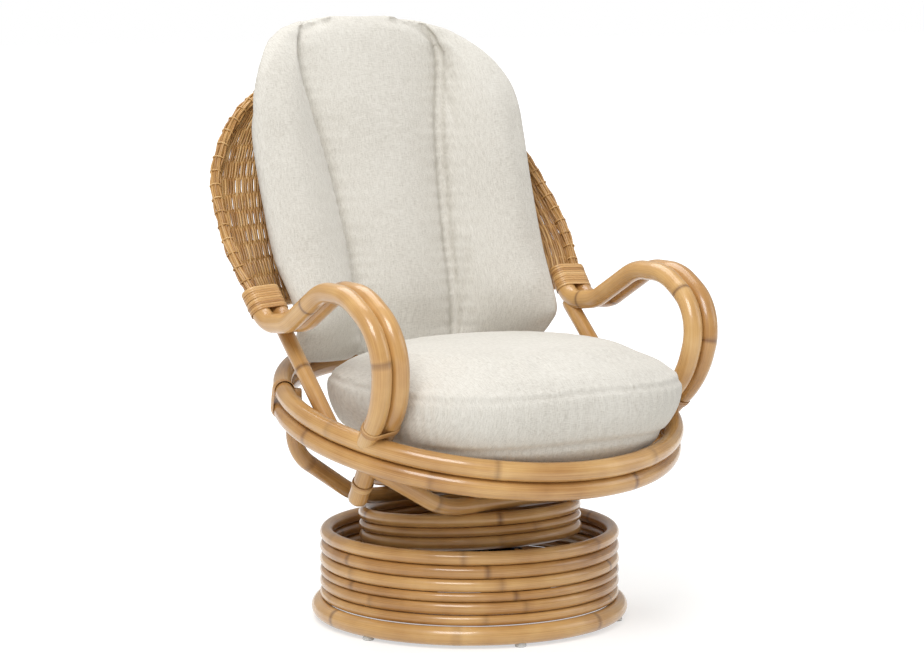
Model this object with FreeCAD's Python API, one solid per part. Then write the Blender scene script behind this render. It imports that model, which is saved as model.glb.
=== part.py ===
import FreeCAD, Part
import math
import os

V = FreeCAD.Vector
X_AXIS = V(1, 0, 0)
Y_AXIS = V(0, 1, 0)
Z_AXIS = V(0, 0, 1)
ORIGIN = V(0, 0, 0)

# Frame: +Z up, the sitter faces -Y, the origin is on the swivel axis at floor level.
# All sizes are in millimetres. The seat is modelled as it stands in the photograph.

# Round base of stacked poles, bottom ring first
foot_ring_outer_radius = 280.0
foot_pole_radius = 16.0
stack_face_offset = 0.8
stack_pole_radii = [9.0, 11.5, 8.0, 11.5, 11.5, 12.0]
base_ring_sides = 28

# Feet under the base
glide_radius = 10.0
glide_height = 5.0
glide_count = 6
glide_grip = 3.0
glide_turn = 14.2

# Poles are drawn with flat sides: this many round the section, one section per turn step
ring_pole_sides = 8
bent_pole_sides = 10
turn_step = 14.0
small_part_sides = 12
race_sides = 24
flatness = 1e-6

# Timber cross and swivel bearing inside the base
rail_width = 64.0
rail_height = 22.0
rail_bottom = 57.0
swivel_plate_size = 190.0
swivel_plate_thickness = 3.0
plate_corner_bolt_radius = 105.0
bolt_radius = 4.0
bolt_head_radius = 8.0
bolt_head_height = 5.0
race_outer_radius = 62.0
race_inner_radius = 48.0
race_height = 4.5
race_gap = 0.5
pin_radius = 9.0
pin_head_radius = 15.0
pin_head_height = 4.0
running_clearance = 0.05
face_clearance = 0.4

# Rocker bracket, shaft and springs
pivot_rise = 29.5
ear_spacing = 150.0
ear_thickness = 5.0
ear_foot_length = 100.0
ear_top_radius = 17.0
shaft_radius = 8.0
shaft_overhang = 7.0
shaft_head_radius = 12.0
sleeve_outer_radius = 12.0
lug_spacing = 110.0
lug_thickness = 6.0
lug_length = 70.0
rocker_plate_size = 200.0
rocker_plate_thickness = 3.0
spring_radius = 15.0
spring_wire = 3.0
spring_across = 46.0
spring_along = 72.0

# Inner drum of three poles, top ring first, leaning back with the seat
rest_lean = 4.3
drum_outer_radius = 197.0
drum_pole_radii = [11.5, 8.0, 12.0]
drum_rise = 69.0
drum_ring_sides = 32
drum_rail_width = 56.0
drum_rail_height = 18.0

# Seat rings
seat_ring_radius = 346.0
seat_pole_radius = 16.5
seat_ring_pitch = 12.2
seat_rise = 160.2
seat_ring_shift = -21.4
seat_ring_sides = 40

# U shaped bearers that carry the seat rings on the drum
bearer_radius = 14.5
front_bearer_inset = 47.0
rear_bearer_inset = 85.0
bearer_flat = 160.0
bearer_bend = 140.0
rear_bearer_tuck = 24.0
rear_shoulder_drop = 50.2
rear_shoulder_bend = 70.0

# Seat slats across the bearers
slat_radius = 8.0
slat_count = 5
slat_pitch = 52.0
slat_overhang = 38.0

# Arms: two bent poles side by side on each hand
arm_pole_radius = 17.0
arm_pole_gap = 0.6
arm_peak_rise = 251.6
arm_front = -253.0
arm_front_drop = 62.0
arm_corner_y = 118.0
arm_corner_rise = 179.8
arm_corner_inset = 1.0
arm_end_run = 66.0
arm_rise_direction = V(8, 82, 99).normalize()
arm_foot_lead = 7.1
arm_knee_offset = V(15, -70, 67)
arm_dip_run = 76.0
arm_dip_rise = 7.0
arm_bends = [154.0, 95.8, 109.6, 98.5, 80.2, 50.0]
stub_lag = 45.0
stub_corner_offset = V(-58, 0, -17)
stub_run = V(-10, 56, -77)
stub_bend = 150.0
arm_knee_bend = 120.0

# Places along the top of an arm: beyond the seat ring's radius, behind the front, above the peak
arm_top_places = [(5.0, 101.0, 0.0), (3.0, 181.0, 0.6)]
arm_front_overhang = 2.0

# Back: rim pole, woven shell, lower rail, stiles and props
rim_pole_radius = 11.0
rim_rise = 395.0
rim_top_inset = 205.0
rim_bends = [320.0, 200.0, 230.0, 300.0]
shell_thickness = 6.0
strand_thickness = 2.8
shell_rise = 208.8
shell_lean = 13.0
shell_reach = 174.0
shell_overhang = 13.0
weave_rows = 14
weave_columns = 24
back_rail_radius = 9.0
back_rail_inset = 1.0
stile_radius = 13.0
stile_x = 95.0
stile_rise = 238.0
stile_bend = 200.0
prop_radius = 14.0
prop_inset = 32.0
prop_lean = 3.0
prop_foot_y = -70.0
prop_foot_drop = 13.2
prop_top_shift = V(0, 6, -4)

# Rim of the back above the arm: beyond the seat ring's radius, behind the arm corner, above the shell's foot
rim_places = [(20.0, 87.0, 88.0), (0.0, 178.0, 213.0), (-60.0, 214.0, 310.0)]

# Shell levels: height above its foot, share of its half width, depth of its edge behind the arm corner
shell_levels = [
    (0.0, 0.975, 30.0),
    (63.0, 1.0, 72.0),
    (138.0, 0.983, 130.0),
    (213.0, 0.930, 180.0),
    (283.0, 0.823, 209.0),
    (338.0, 0.669, 229.0),
    (378.0, 0.474, 244.0),
]

# Bindings of split cane
binding_thickness = 2.2
corner_binding_length = 46.0
ring_binding_length = 26.0
foot_binding_length = 12.0
foot_binding_rise = 24.0
stub_binding_length = 12.0
stub_binding_place = 32.0

# Cushions
soft_clearance = 0.4
seat_cushion_setback = 242.0
seat_cushion_depth_inset = 76.0
seat_cushion_inset = 64.0
cushion_steps = 36
back_cushion_inset = 45.0
side_tuck = 12.0
side_round = 18.0

# Seat cushion levels: height above its underside, shares of its half width and half depth, squareness
seat_cushion_levels = [
    (0.0, 0.585, 0.574, 2.0),
    (18.0, 0.787, 0.756, 2.1),
    (52.0, 0.879, 0.852, 2.1),
    (84.0, 0.908, 0.926, 2.4),
    (120.0, 0.936, 0.978, 2.8),
    (158.0, 0.979, 1.0, 3.2),
    (190.0, 1.0, 0.993, 3.2),
    (209.0, 0.964, 0.941, 3.0),
    (220.0, 0.878, 0.844, 2.8),
    (226.0, 0.686, 0.641, 2.4),
]

# Back cushion levels: height above the shell's foot, seam's share of the half width, seam's depth
# from the deepest place of the shell's foot, share of the half width, side's depth, panel swell
# and depth of the back, or None where the cushion lies against the shell
back_cushion_levels = [
    (-115.0, 0.332, -102.0, 0.857, -134.0, 4.0, -30.0),
    (-84.0, 0.346, -104.0, 0.937, -156.0, 6.0, -12.0),
    (-47.0, 0.352, -102.0, 0.953, -176.0, 18.0, -6.0),
    (0.0, 0.355, -95.0, 0.960, -160.0, 26.0, None),
    (78.0, 0.362, -74.0, 0.990, -114.0, 28.0, None),
    (178.0, 0.392, -44.0, 1.0, -78.0, 28.0, None),
    (278.0, 0.435, -14.0, 1.0, -52.0, 28.0, None),
    (338.0, 0.475, 4.0, 0.977, -42.0, 27.0, None),
    (383.0, 0.518, 19.0, 0.927, -28.0, 25.0, 75.0),
    (428.0, 0.545, 32.0, 0.827, 0.0, 20.0, 93.0),
    (463.0, 0.498, 41.0, 0.684, 38.0, 14.0, 100.0),
    (484.0, 0.372, 50.0, 0.498, 58.0, 8.0, 94.0),
    (496.0, 0.219, 60.0, 0.299, 68.0, 3.0, 84.0),
]


def mirrored(shape):
    """The same shape on the other hand of the chair."""
    return shape.mirror(ORIGIN, X_AXIS)


def prism_offsets(direction, hint, radius, sides):
    """Corners of a flat-sided pole section whose flats touch the circle of this radius."""
    side = direction.cross(hint)
    side.normalize()
    up = side.cross(direction)
    reach = radius / math.cos(math.pi / sides)
    offsets = []
    for i in range(sides):
        a = math.pi / 2 + 2 * math.pi * (i + 0.5) / sides
        offsets.append(side * (reach * math.cos(a)) + up * (reach * math.sin(a)))
    return offsets


def slide_to_plane(offset, direction, normal):
    """Move a corner along its run until it lies on the mitre plane through the joint."""
    return offset - direction * (offset.dot(normal) / direction.dot(normal))


def closed_polygon(corners):
    return Part.makePolygon(corners + [corners[0]])


def flat_faces(a, b, c, d):
    """One flat face through four corners, or two where the corners don't share a plane."""
    out_of_plane = (b - a).cross(c - a).normalize().dot(d - a)
    if abs(out_of_plane) < flatness:
        return [Part.Face(closed_polygon([a, b, c, d]))]
    if (c - a).Length < (d - b).Length:
        return [Part.Face(closed_polygon([a, b, c])), Part.Face(closed_polygon([a, c, d]))]
    return [Part.Face(closed_polygon([a, b, d])), Part.Face(closed_polygon([b, c, d]))]


def solid_from_rows(rows, closed):
    """Solid with flat faces between neighbouring rows of corners."""
    faces = []
    count = len(rows[0])
    last = len(rows) if closed else len(rows) - 1
    for i in range(last):
        row = rows[i]
        following = rows[(i + 1) % len(rows)]
        for k in range(count):
            m = (k + 1) % count
            faces += flat_faces(row[k], row[m], following[m], following[k])
    if not closed:
        faces.append(Part.Face(closed_polygon(rows[0])))
        faces.append(Part.Face(closed_polygon(rows[-1])))
    shell = Part.Shell(faces)
    shell.sewShape()
    solid = Part.Solid(shell.Shells[0] if shell.Shells else shell)
    if solid.Volume < 0:
        solid.reverse()
    return solid


def pole_along(points, radius, sides, hint):
    """Straight runs of pole mitred at each point of an open path."""
    rows = []
    direction = (points[1] - points[0]).normalize()
    offsets = prism_offsets(direction, hint, radius, sides)
    rows.append([points[0] + o for o in offsets])
    for i in range(1, len(points) - 1):
        following = (points[i + 1] - points[i]).normalize()
        normal = direction + following
        mitre = [slide_to_plane(o, direction, normal) for o in offsets]
        rows.append([points[i] + o for o in mitre])
        offsets = [o - following * o.dot(following) for o in mitre]
        direction = following
    end_offsets = offsets
    rows.append([points[-1] + o for o in end_offsets])
    return solid_from_rows(rows, False)


def rounded_path(corners, bends):
    """Points along straight runs joined by tangent arcs of the given bend radii."""
    path = [corners[0]]
    for i in range(1, len(corners) - 1):
        corner = corners[i]
        back = (corners[i - 1] - corner).normalize()
        ahead = (corners[i + 1] - corner).normalize()
        turn = math.pi - back.getAngle(ahead)
        steps = max(2, int(math.ceil(math.degrees(turn) / turn_step)))
        bend = bends[i - 1]
        half_angle = (math.pi - turn) / 2
        centre = corner + (back + ahead).normalize() * (bend / math.sin(half_angle))
        start = corner + back * (bend / math.tan(half_angle))
        axis = (start - centre).normalize()
        across = (ahead - axis * ahead.dot(axis)).normalize()
        for k in range(steps + 1):
            a = turn * k / steps
            path.append(centre + axis * (bend * math.cos(a)) + across * (bend * math.sin(a)))
    path.append(corners[-1])
    return path


def bent_pole(corners, bends, radius, hint=X_AXIS):
    return pole_along(rounded_path(corners, bends), radius, bent_pole_sides, hint)


def straight_pole(start, end, radius, sides=bent_pole_sides, hint=X_AXIS):
    return pole_along([start, end], radius, sides, hint)


def round_bar(start, end, radius):
    return Part.makeCylinder(radius, (end - start).Length, start, end - start)


def upright_prism(radius, height, base, sides=small_part_sides):
    return straight_pole(base, base + V(0, 0, height), radius, sides)


def ring_pole(ring_radius, pole_radius, sides):
    """Level closed ring of mitred pole about the Z axis, centred at the origin."""
    rows = []
    reach = pole_radius / math.cos(math.pi / ring_pole_sides)
    for i in range(sides):
        a = 2 * math.pi * (i + 0.5) / sides
        row = []
        for k in range(ring_pole_sides):
            b = 2 * math.pi * (k + 0.5) / ring_pole_sides
            out = ring_radius + reach * math.cos(b)
            row.append(V(out * math.cos(a), out * math.sin(a), reach * math.sin(b)))
        rows.append(row)
    return solid_from_rows(rows, True)


def tilted(shape, pitch, centre):
    """Turn a level shape about the chair's cross axis and set it at its centre."""
    shape.rotate(ORIGIN, X_AXIS, pitch)
    shape.translate(centre)
    return shape


def box_between(low, high):
    return Part.makeBox(high.x - low.x, high.y - low.y, high.z - low.z, low)


def square_plate(size, thickness, bottom):
    return box_between(V(-size / 2, -size / 2, bottom), V(size / 2, size / 2, bottom + thickness))


def stacked_heights(first_height, first_pole, radii):
    """Centre heights of poles that rest flat on each other, from the first pole upwards."""
    heights = []
    top = first_height + first_pole
    for radius in radii:
        heights.append(top + radius)
        top += 2 * radius
    return heights


# Base

foot_ring_radius = foot_ring_outer_radius - foot_pole_radius
foot_ring_height = glide_height + foot_pole_radius
stack_outer_radius = foot_ring_radius + stack_face_offset
stack_heights = stacked_heights(foot_ring_height, foot_pole_radius, stack_pole_radii)


def base_foot_ring():
    ring = ring_pole(foot_ring_radius, foot_pole_radius, base_ring_sides)
    ring.translate(V(0, 0, foot_ring_height))
    return ring


def base_ring(index):
    radius = stack_pole_radii[index]
    ring = ring_pole(stack_outer_radius - radius, radius, base_ring_sides)
    ring.translate(V(0, 0, stack_heights[index]))
    return ring


def floor_glides(foot_ring):
    """Flat round feet pressed up against the underside of the foot ring."""
    glides = []
    for i in range(glide_count):
        a = math.radians(glide_turn + 360.0 * i / glide_count)
        centre = V(foot_ring_radius * math.cos(a), foot_ring_radius * math.sin(a), 0)
        glide = upright_prism(glide_radius, glide_height + glide_grip, centre)
        glides.append(glide.cut(foot_ring))
    return Part.makeCompound(glides)


rail_top = rail_bottom + rail_height


def rail_reach(height):
    """Distance from the axis to the inner wall of the stack at this height."""
    reach = foot_ring_outer_radius
    for radius, centre in zip(stack_pole_radii, stack_heights):
        if abs(centre - height) < radius:
            reach = min(reach, (stack_outer_radius - radius) * math.cos(math.pi / base_ring_sides) - radius)
    return reach


def base_cross(rings):
    """Two timber rails halved together, their ends coped to the inside of the stack."""
    reach = rail_reach(rail_bottom + rail_height / 2)
    along = box_between(V(-reach, -rail_width / 2, rail_bottom), V(reach, rail_width / 2, rail_top))
    across = box_between(V(-rail_width / 2, -reach, rail_bottom), V(rail_width / 2, reach, rail_top))
    cross = along.fuse(across).removeSplitter()
    for ring in rings:
        cross = cross.cut(ring)
    for x, y in bolt_places():
        cross = cross.cut(upright_prism(bolt_radius, rail_height, V(x, y, rail_bottom)))
    return cross


def bolt_places():
    r = plate_corner_bolt_radius
    return [(r, 0), (0, r), (-r, 0), (0, -r)]


lower_plate_top = rail_top + swivel_plate_thickness
race_top = lower_plate_top + race_height
upper_plate_bottom = race_top + race_gap + race_height
upper_plate_top = upper_plate_bottom + swivel_plate_thickness

# Heights above the swivel, each from the piece below it
pivot_height = upper_plate_top + pivot_rise
drum_top_height = pivot_height + drum_rise
seat_ring_height = drum_top_height + seat_rise
arm_peak = seat_ring_height + arm_peak_rise
arm_corner_z = seat_ring_height + arm_corner_rise
shell_bottom = seat_ring_height + shell_rise
rim_height = shell_bottom + rim_rise


def swivel_lower_plate():
    """Square plate on the timber cross with the fixed half of the ball race."""
    plate = square_plate(swivel_plate_size, swivel_plate_thickness, rail_top)
    plate.rotate(ORIGIN, Z_AXIS, 45)
    plate = plate.cut(Part.makeCylinder(pin_radius, swivel_plate_thickness, V(0, 0, rail_top)))
    for x, y in bolt_places():
        plate = plate.cut(upright_prism(bolt_radius, swivel_plate_thickness, V(x, y, rail_top)))
    race = race_ring(lower_plate_top)
    return plate.fuse(race)


def race_ring(bottom):
    outer = upright_prism(race_outer_radius, race_height, V(0, 0, bottom), race_sides)
    return outer.cut(upright_prism(race_inner_radius, race_height, V(0, 0, bottom), race_sides))


def hexagon_head(radius, height, bottom):
    corners = []
    for i in range(6):
        a = math.radians(60 * i)
        corners.append(bottom + V(radius * math.cos(a), radius * math.sin(a), 0))
    return Part.Face(closed_polygon(corners)).extrude(V(0, 0, height))


def swivel_bolts():
    """Bolts that hold the lower plate to the timber cross."""
    bolts = []
    for x, y in bolt_places():
        shank = upright_prism(bolt_radius, rail_height + swivel_plate_thickness, V(x, y, rail_bottom))
        head = hexagon_head(bolt_head_radius, bolt_head_height, V(x, y, lower_plate_top))
        nut = hexagon_head(bolt_head_radius, bolt_head_height, V(x, y, rail_bottom - bolt_head_height))
        bolts.append(shank.fuse([head, nut]).removeSplitter())
    return Part.makeCompound(bolts)


def swivel_pin():
    """Centre pin that the upper plate turns on."""
    head_bottom = upper_plate_top + face_clearance
    shank = Part.makeCylinder(pin_radius, head_bottom - rail_top, V(0, 0, rail_top))
    head = upright_prism(pin_head_radius, pin_head_height, V(0, 0, head_bottom))
    return shank.fuse(head).removeSplitter()


# Swivel

def swivel_upper_plate():
    """Square plate with the turning half of the ball race under it."""
    plate = square_plate(swivel_plate_size, swivel_plate_thickness, upper_plate_bottom)
    plate = plate.fuse(race_ring(upper_plate_bottom - race_height))
    bore = Part.makeCylinder(
        pin_radius + running_clearance, swivel_plate_thickness, V(0, 0, upper_plate_bottom))
    return plate.cut(bore)


def rocker_bracket():
    """Two upright ears on the upper plate that hold the rocker shaft."""
    ears = []
    for side in (-1, 1):
        x = side * ear_spacing / 2 - ear_thickness / 2
        foot_front = V(x, -ear_foot_length / 2, upper_plate_top)
        foot_rear = V(x, ear_foot_length / 2, upper_plate_top)
        corners = [foot_front, foot_rear]
        corners.append(V(x, ear_top_radius, pivot_height))
        crown = V(x, 0, pivot_height + ear_top_radius)
        corners.append(V(x, -ear_top_radius, pivot_height))
        edges = [
            Part.LineSegment(corners[0], corners[1]).toShape(),
            Part.LineSegment(corners[1], corners[2]).toShape(),
            Part.Arc(corners[2], crown, corners[3]).toShape(),
            Part.LineSegment(corners[3], corners[0]).toShape(),
        ]
        ear = Part.Face(Part.Wire(edges)).extrude(V(ear_thickness, 0, 0))
        hole = Part.makeCylinder(shaft_radius, ear_thickness, V(x, 0, pivot_height), X_AXIS)
        ears.append(ear.cut(hole))
    return Part.makeCompound(ears)


def pivot_shaft():
    half = ear_spacing / 2 + ear_thickness / 2 + shaft_overhang
    shaft = round_bar(V(-half, 0, pivot_height), V(half, 0, pivot_height), shaft_radius)
    ends = []
    for side in (-1, 1):
        start = V(side * (half - shaft_overhang), 0, pivot_height)
        end = start + X_AXIS * (side * shaft_overhang)
        ends.append(straight_pole(start, end, shaft_head_radius, 6, Z_AXIS))
    return shaft.fuse(ends).removeSplitter()


# Drum

# Heights of the drum's poles from the top one, which stands at drum_top_height
drum_depths = stacked_heights(0.0, drum_pole_radii[0], drum_pole_radii[1:])
drum_heights = [0.0] + [-depth for depth in drum_depths]


def lean_back(shape):
    """Set a level shape of the drum or rocker top at the lean it rests at."""
    return tilted(shape, -rest_lean, V(0, 0, drum_top_height))


def drum_ring(index):
    radius = drum_pole_radii[index]
    ring = ring_pole(drum_outer_radius - radius, radius, drum_ring_sides)
    ring.translate(V(0, 0, drum_heights[index]))
    return lean_back(ring)


drum_rail_top = drum_heights[-1] + drum_rail_height / 2
drum_rail_bottom = drum_rail_top - drum_rail_height


def drum_cross(rings):
    """Two timber rails inside the drum, coped to its lowest ring."""
    radius = drum_pole_radii[-1]
    reach = (drum_outer_radius - radius) * math.cos(math.pi / drum_ring_sides) - radius
    half = drum_rail_width / 2
    along = box_between(V(-reach, -half, drum_rail_bottom), V(reach, half, drum_rail_top))
    across = box_between(V(-half, -reach, drum_rail_bottom), V(half, reach, drum_rail_top))
    cross = lean_back(along.fuse(across).removeSplitter())
    for ring in rings:
        cross = cross.cut(ring)
    return cross


def leaned_height(offset, y):
    """Height of a level plane of the drum, at this offset from its top, once it leans."""
    lean = math.radians(rest_lean)
    return drum_top_height + offset / math.cos(lean) - y * math.tan(lean)


rocker_plate_bottom = drum_rail_bottom - rocker_plate_thickness


def rocker_top_frame():
    """Plate under the drum cross with two lugs on the sleeve that turns on the shaft."""
    plate = lean_back(square_plate(rocker_plate_size, rocker_plate_thickness, rocker_plate_bottom))
    sleeve_half = ear_spacing / 2 - ear_thickness / 2 - face_clearance
    start = V(-sleeve_half, 0, pivot_height)
    end = V(sleeve_half, 0, pivot_height)
    frame = plate.fuse(straight_pole(start, end, sleeve_outer_radius, small_part_sides, Z_AXIS))
    inside_plate = rocker_plate_bottom + rocker_plate_thickness / 2
    for side in (-1, 1):
        x = side * lug_spacing / 2 - lug_thickness / 2
        corners = [
            V(x, -lug_length / 2, leaned_height(inside_plate, -lug_length / 2)),
            V(x, lug_length / 2, leaned_height(inside_plate, lug_length / 2)),
            V(x, sleeve_outer_radius / 2, pivot_height),
            V(x, -sleeve_outer_radius / 2, pivot_height),
        ]
        frame = frame.fuse(Part.Face(closed_polygon(corners)).extrude(V(lug_thickness, 0, 0)))
    bore = round_bar(start, end, shaft_radius + running_clearance)
    return frame.cut(bore).removeSplitter()


def rocker_springs(side):
    """A pair of coil springs between the upper swivel plate and the rocker plate."""
    springs = []
    for hand in (-1, 1):
        base = V(hand * spring_across, side * spring_along, upper_plate_top)
        lowest = leaned_height(rocker_plate_bottom, base.y + spring_radius)
        height = lowest - face_clearance - upper_plate_top
        spring = upright_prism(spring_radius, height, base)
        springs.append(spring.cut(upright_prism(spring_radius - spring_wire, height, base)))
    return Part.makeCompound(springs)


# Seat rings and bearers

ring_normal = V(0, -math.sin(math.radians(seat_ring_pitch)), math.cos(math.radians(seat_ring_pitch)))
lower_ring_centre = V(0, seat_ring_shift, seat_ring_height)
upper_ring_centre = lower_ring_centre + ring_normal * (2 * seat_pole_radius)


front_bearer_y = front_bearer_inset - drum_outer_radius
rear_bearer_y = drum_outer_radius - rear_bearer_inset


def seat_ring(centre):
    return tilted(ring_pole(seat_ring_radius, seat_pole_radius, seat_ring_sides), seat_ring_pitch, centre)


def on_ring(centre, y):
    """Point of a seat ring's centre line at this depth, on the sitter's left."""
    pitch = math.radians(seat_ring_pitch)
    rise = (y - centre.y) / math.cos(pitch)
    x = math.sqrt(seat_ring_radius ** 2 - rise ** 2)
    return V(x, y, centre.z + rise * math.sin(pitch))


def drum_top_at(y):
    """Height of the drum's upper edge at this depth."""
    lean = math.radians(rest_lean)
    return drum_top_height - y * math.tan(lean) + drum_pole_radii[0] / math.cos(lean)


def bearer_height(y):
    return drum_top_at(y) + bearer_radius


def front_bearer(cutters):
    low = bearer_height(front_bearer_y)
    end = on_ring(lower_ring_centre, front_bearer_y)
    corners = [
        V(-end.x, front_bearer_y, end.z),
        V(-bearer_flat, front_bearer_y, low),
        V(bearer_flat, front_bearer_y, low),
        V(end.x, front_bearer_y, end.z),
    ]
    pole = bent_pole(corners, [bearer_bend, bearer_bend], bearer_radius, Y_AXIS)
    return cut_all(pole, cutters)


def rear_bearer(cutters):
    low = bearer_height(rear_bearer_y)
    ring = on_ring(lower_ring_centre, rear_bearer_y)
    shoulder_x = ring.x - rear_bearer_tuck
    shoulder_z = seat_ring_height - rear_shoulder_drop
    top = on_ring(upper_ring_centre, rear_bearer_y).z
    corners = [
        V(-shoulder_x, rear_bearer_y, top),
        V(-shoulder_x, rear_bearer_y, shoulder_z),
        V(-bearer_flat, rear_bearer_y, low),
        V(bearer_flat, rear_bearer_y, low),
        V(shoulder_x, rear_bearer_y, shoulder_z),
        V(shoulder_x, rear_bearer_y, top),
    ]
    bends = [rear_shoulder_bend, bearer_bend, bearer_bend, rear_shoulder_bend]
    pole = bent_pole(corners, bends, bearer_radius, Y_AXIS)
    return cut_all(pole, cutters)


def cut_all(shape, cutters):
    """Cope a piece to its neighbours and keep its largest solid."""
    for cutter in cutters:
        shape = shape.cut(cutter)
    return largest_solid(shape)


def largest_solid(shape):
    solids = shape.Solids
    best = solids[0]
    for solid in solids:
        if solid.Volume > best.Volume:
            best = solid
    return best


slat_front_y = front_bearer_y - slat_overhang
slat_rear_y = rear_bearer_y + slat_overhang
slat_slope = (bearer_height(rear_bearer_y) - bearer_height(front_bearer_y)) / (rear_bearer_y - front_bearer_y)


def slat_centre_height(y):
    start = bearer_height(front_bearer_y) + bearer_radius + slat_radius
    return start + (y - front_bearer_y) * slat_slope


def seat_slats(cutters):
    slats = []
    for i in range(slat_count):
        x = (i - (slat_count - 1) / 2.0) * slat_pitch
        start = V(x, slat_front_y, slat_centre_height(slat_front_y))
        end = V(x, slat_rear_y, slat_centre_height(slat_rear_y))
        slats.append(cut_all(straight_pole(start, end, slat_radius), cutters))
    return Part.makeCompound(slats)


# Arms, on the sitter's left: corner points of the outer pole from its foot to the rear corner

pole_pitch = 2 * arm_pole_radius + arm_pole_gap
arm_foot = on_ring(upper_ring_centre, front_bearer_y - arm_foot_lead)
arm_knee = arm_foot + arm_knee_offset
arm_corner = V(seat_ring_radius - arm_corner_inset, arm_corner_y, arm_corner_z)
arm_end = arm_corner + arm_rise_direction * arm_end_run
inward = V(-pole_pitch, 0, 0)


def arm_corners():
    """Corner points shared by both poles of an arm."""
    front = V(seat_ring_radius + arm_front_overhang, arm_front, arm_peak - arm_front_drop)
    top = []
    for beyond, behind, above in arm_top_places:
        top.append(V(seat_ring_radius + beyond, arm_front + behind, arm_peak + above))
    dip = arm_corner + V(0, -arm_dip_run, arm_dip_rise)
    return [arm_knee, front] + top + [dip, arm_corner, arm_end]


def arm_outer(cutters):
    pole = bent_pole([arm_foot] + arm_corners(), arm_bends, arm_pole_radius)
    return cut_all(pole, cutters)


ring_side = on_ring(lower_ring_centre, front_bearer_y + stub_lag)
stub_corner = ring_side + stub_corner_offset
stub_end = stub_corner + stub_run


def arm_inner(cutters):
    """Inner pole of an arm: it passes inside the seat rings and ends below them."""
    corners = [stub_end, stub_corner] + [corner + inward for corner in arm_corners()]
    bends = [stub_bend, arm_knee_bend] + arm_bends[1:]
    return cut_all(bent_pole(corners, bends, arm_pole_radius), cutters)


# Back frame

shell_deep_y = arm_corner_y + shell_reach
shell_half_width = seat_ring_radius + shell_overhang


def shell_deep(z):
    """Depth of the inside of the shell on the centre line at this height."""
    return shell_deep_y + (z - shell_bottom) * math.tan(math.radians(shell_lean))


rim_top = V(seat_ring_radius - rim_top_inset, shell_deep(rim_height) + shell_thickness / 2, rim_height)


def back_hoop(cutters):
    """Rim pole of the back, end to end with the outer poles of the two arms."""
    right = [arm_end]
    for beyond, behind, above in rim_places:
        right.append(V(seat_ring_radius + beyond, arm_corner_y + behind, shell_bottom + above))
    right.append(rim_top)
    left = [V(-p.x, p.y, p.z) for p in reversed(right)]
    bends = rim_bends + rim_bends[::-1]
    return cut_all(bent_pole(right + left, bends, rim_pole_radius, V(0, 1, -0.5)), cutters)


def prop(cutters):
    """Slanting prop from inside the seat rings up to the rear corner of the arm."""
    foot_x = seat_ring_radius - prop_inset
    foot = V(foot_x, prop_foot_y, seat_ring_height - prop_foot_drop)
    top = V(foot_x - prop_lean, arm_corner.y, arm_corner.z) + prop_top_shift
    return cut_all(straight_pole(foot, top, prop_radius), cutters)


# Woven shell of the back


def along_arc(start, middle, end, steps):
    """Points at equal steps along the arc through three points."""
    return Part.Arc(start, middle, end).toShape().discretize(steps + 1)


def shell_rim(z):
    """Half width and depth of the shell's edge at this height."""
    height = z - shell_bottom
    low, high = shell_levels[0], shell_levels[1]
    for following in shell_levels[2:]:
        if height > high[0]:
            low, high = high, following
    part = (height - low[0]) / (high[0] - low[0])
    share = low[1] + (high[1] - low[1]) * part
    return shell_half_width * share, arm_corner_y + low[2] + (high[2] - low[2]) * part


def woven_outline(row):
    """Level outline of the shell at one stake: its strands pass the stake in front and behind by turns."""
    z = shell_bottom + shell_levels[-1][0] * row / weave_rows
    half, rim_y = shell_rim(z)
    inside = []
    outside = []
    arc = along_arc(V(-half, rim_y, z), V(0, shell_deep(z), z), V(half, rim_y, z), weave_columns)
    for column, point in enumerate(arc):
        lift = (shell_thickness - strand_thickness) * ((row + column) % 2)
        if column in (0, weave_columns) or row in (0, weave_rows):
            lift = (shell_thickness - strand_thickness) / 2
        inside.append(point + V(0, lift, 0))
        outside.append(point + V(0, lift + strand_thickness, 0))
    return inside + outside[::-1]


def back_shell(cutters):
    shell = solid_from_rows([woven_outline(row) for row in range(weave_rows + 1)], False)
    return cut_all(shell, cutters)


def shell_inside(x, z):
    """Depth of the inside face of the shell at this point."""
    half, rim_y = shell_rim(z)
    sag = shell_deep(z) - rim_y
    radius = (half ** 2 + sag ** 2) / (2 * sag)
    return shell_deep(z) - radius + math.sqrt(radius ** 2 - min(abs(x), half) ** 2)


def back_rail(cutters):
    """Bent rail under the lower edge of the shell, between the two arms."""
    z = shell_bottom - back_rail_radius
    half, rim_y = shell_rim(shell_bottom)
    sag = shell_deep(shell_bottom) - rim_y
    inside = (half ** 2 + sag ** 2) / (2 * sag)
    radius = inside + back_rail_radius
    centre_y = shell_deep(shell_bottom) - inside
    sweep = math.asin((seat_ring_radius - back_rail_inset) / radius)
    steps = int(math.ceil(math.degrees(2 * sweep) / turn_step)) * 2
    points = []
    for i in range(steps + 1):
        a = -sweep + 2 * sweep * i / steps
        points.append(V(radius * math.sin(a), centre_y + radius * math.cos(a), z))
    return cut_all(pole_along(points, back_rail_radius, bent_pole_sides, Z_AXIS), cutters)


def back_stile(cutters):
    """Upright pole from the rear of the seat rings to the back of the shell."""
    ring_rise = math.sqrt(seat_ring_radius ** 2 - stile_x ** 2)
    pitch = math.radians(seat_ring_pitch)
    foot_y = upper_ring_centre.y + ring_rise * math.cos(pitch)
    foot_z = upper_ring_centre.z + ring_rise * math.sin(pitch)
    behind = shell_thickness + stile_radius
    knee = V(stile_x, shell_inside(stile_x, shell_bottom) + behind, shell_bottom)
    stile_top = shell_bottom + stile_rise
    top = V(stile_x, shell_inside(stile_x, stile_top) + behind, stile_top)
    corners = [V(stile_x, foot_y, foot_z), knee, top]
    return cut_all(bent_pole(corners, [stile_bend], stile_radius), cutters)


# Bindings

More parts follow.
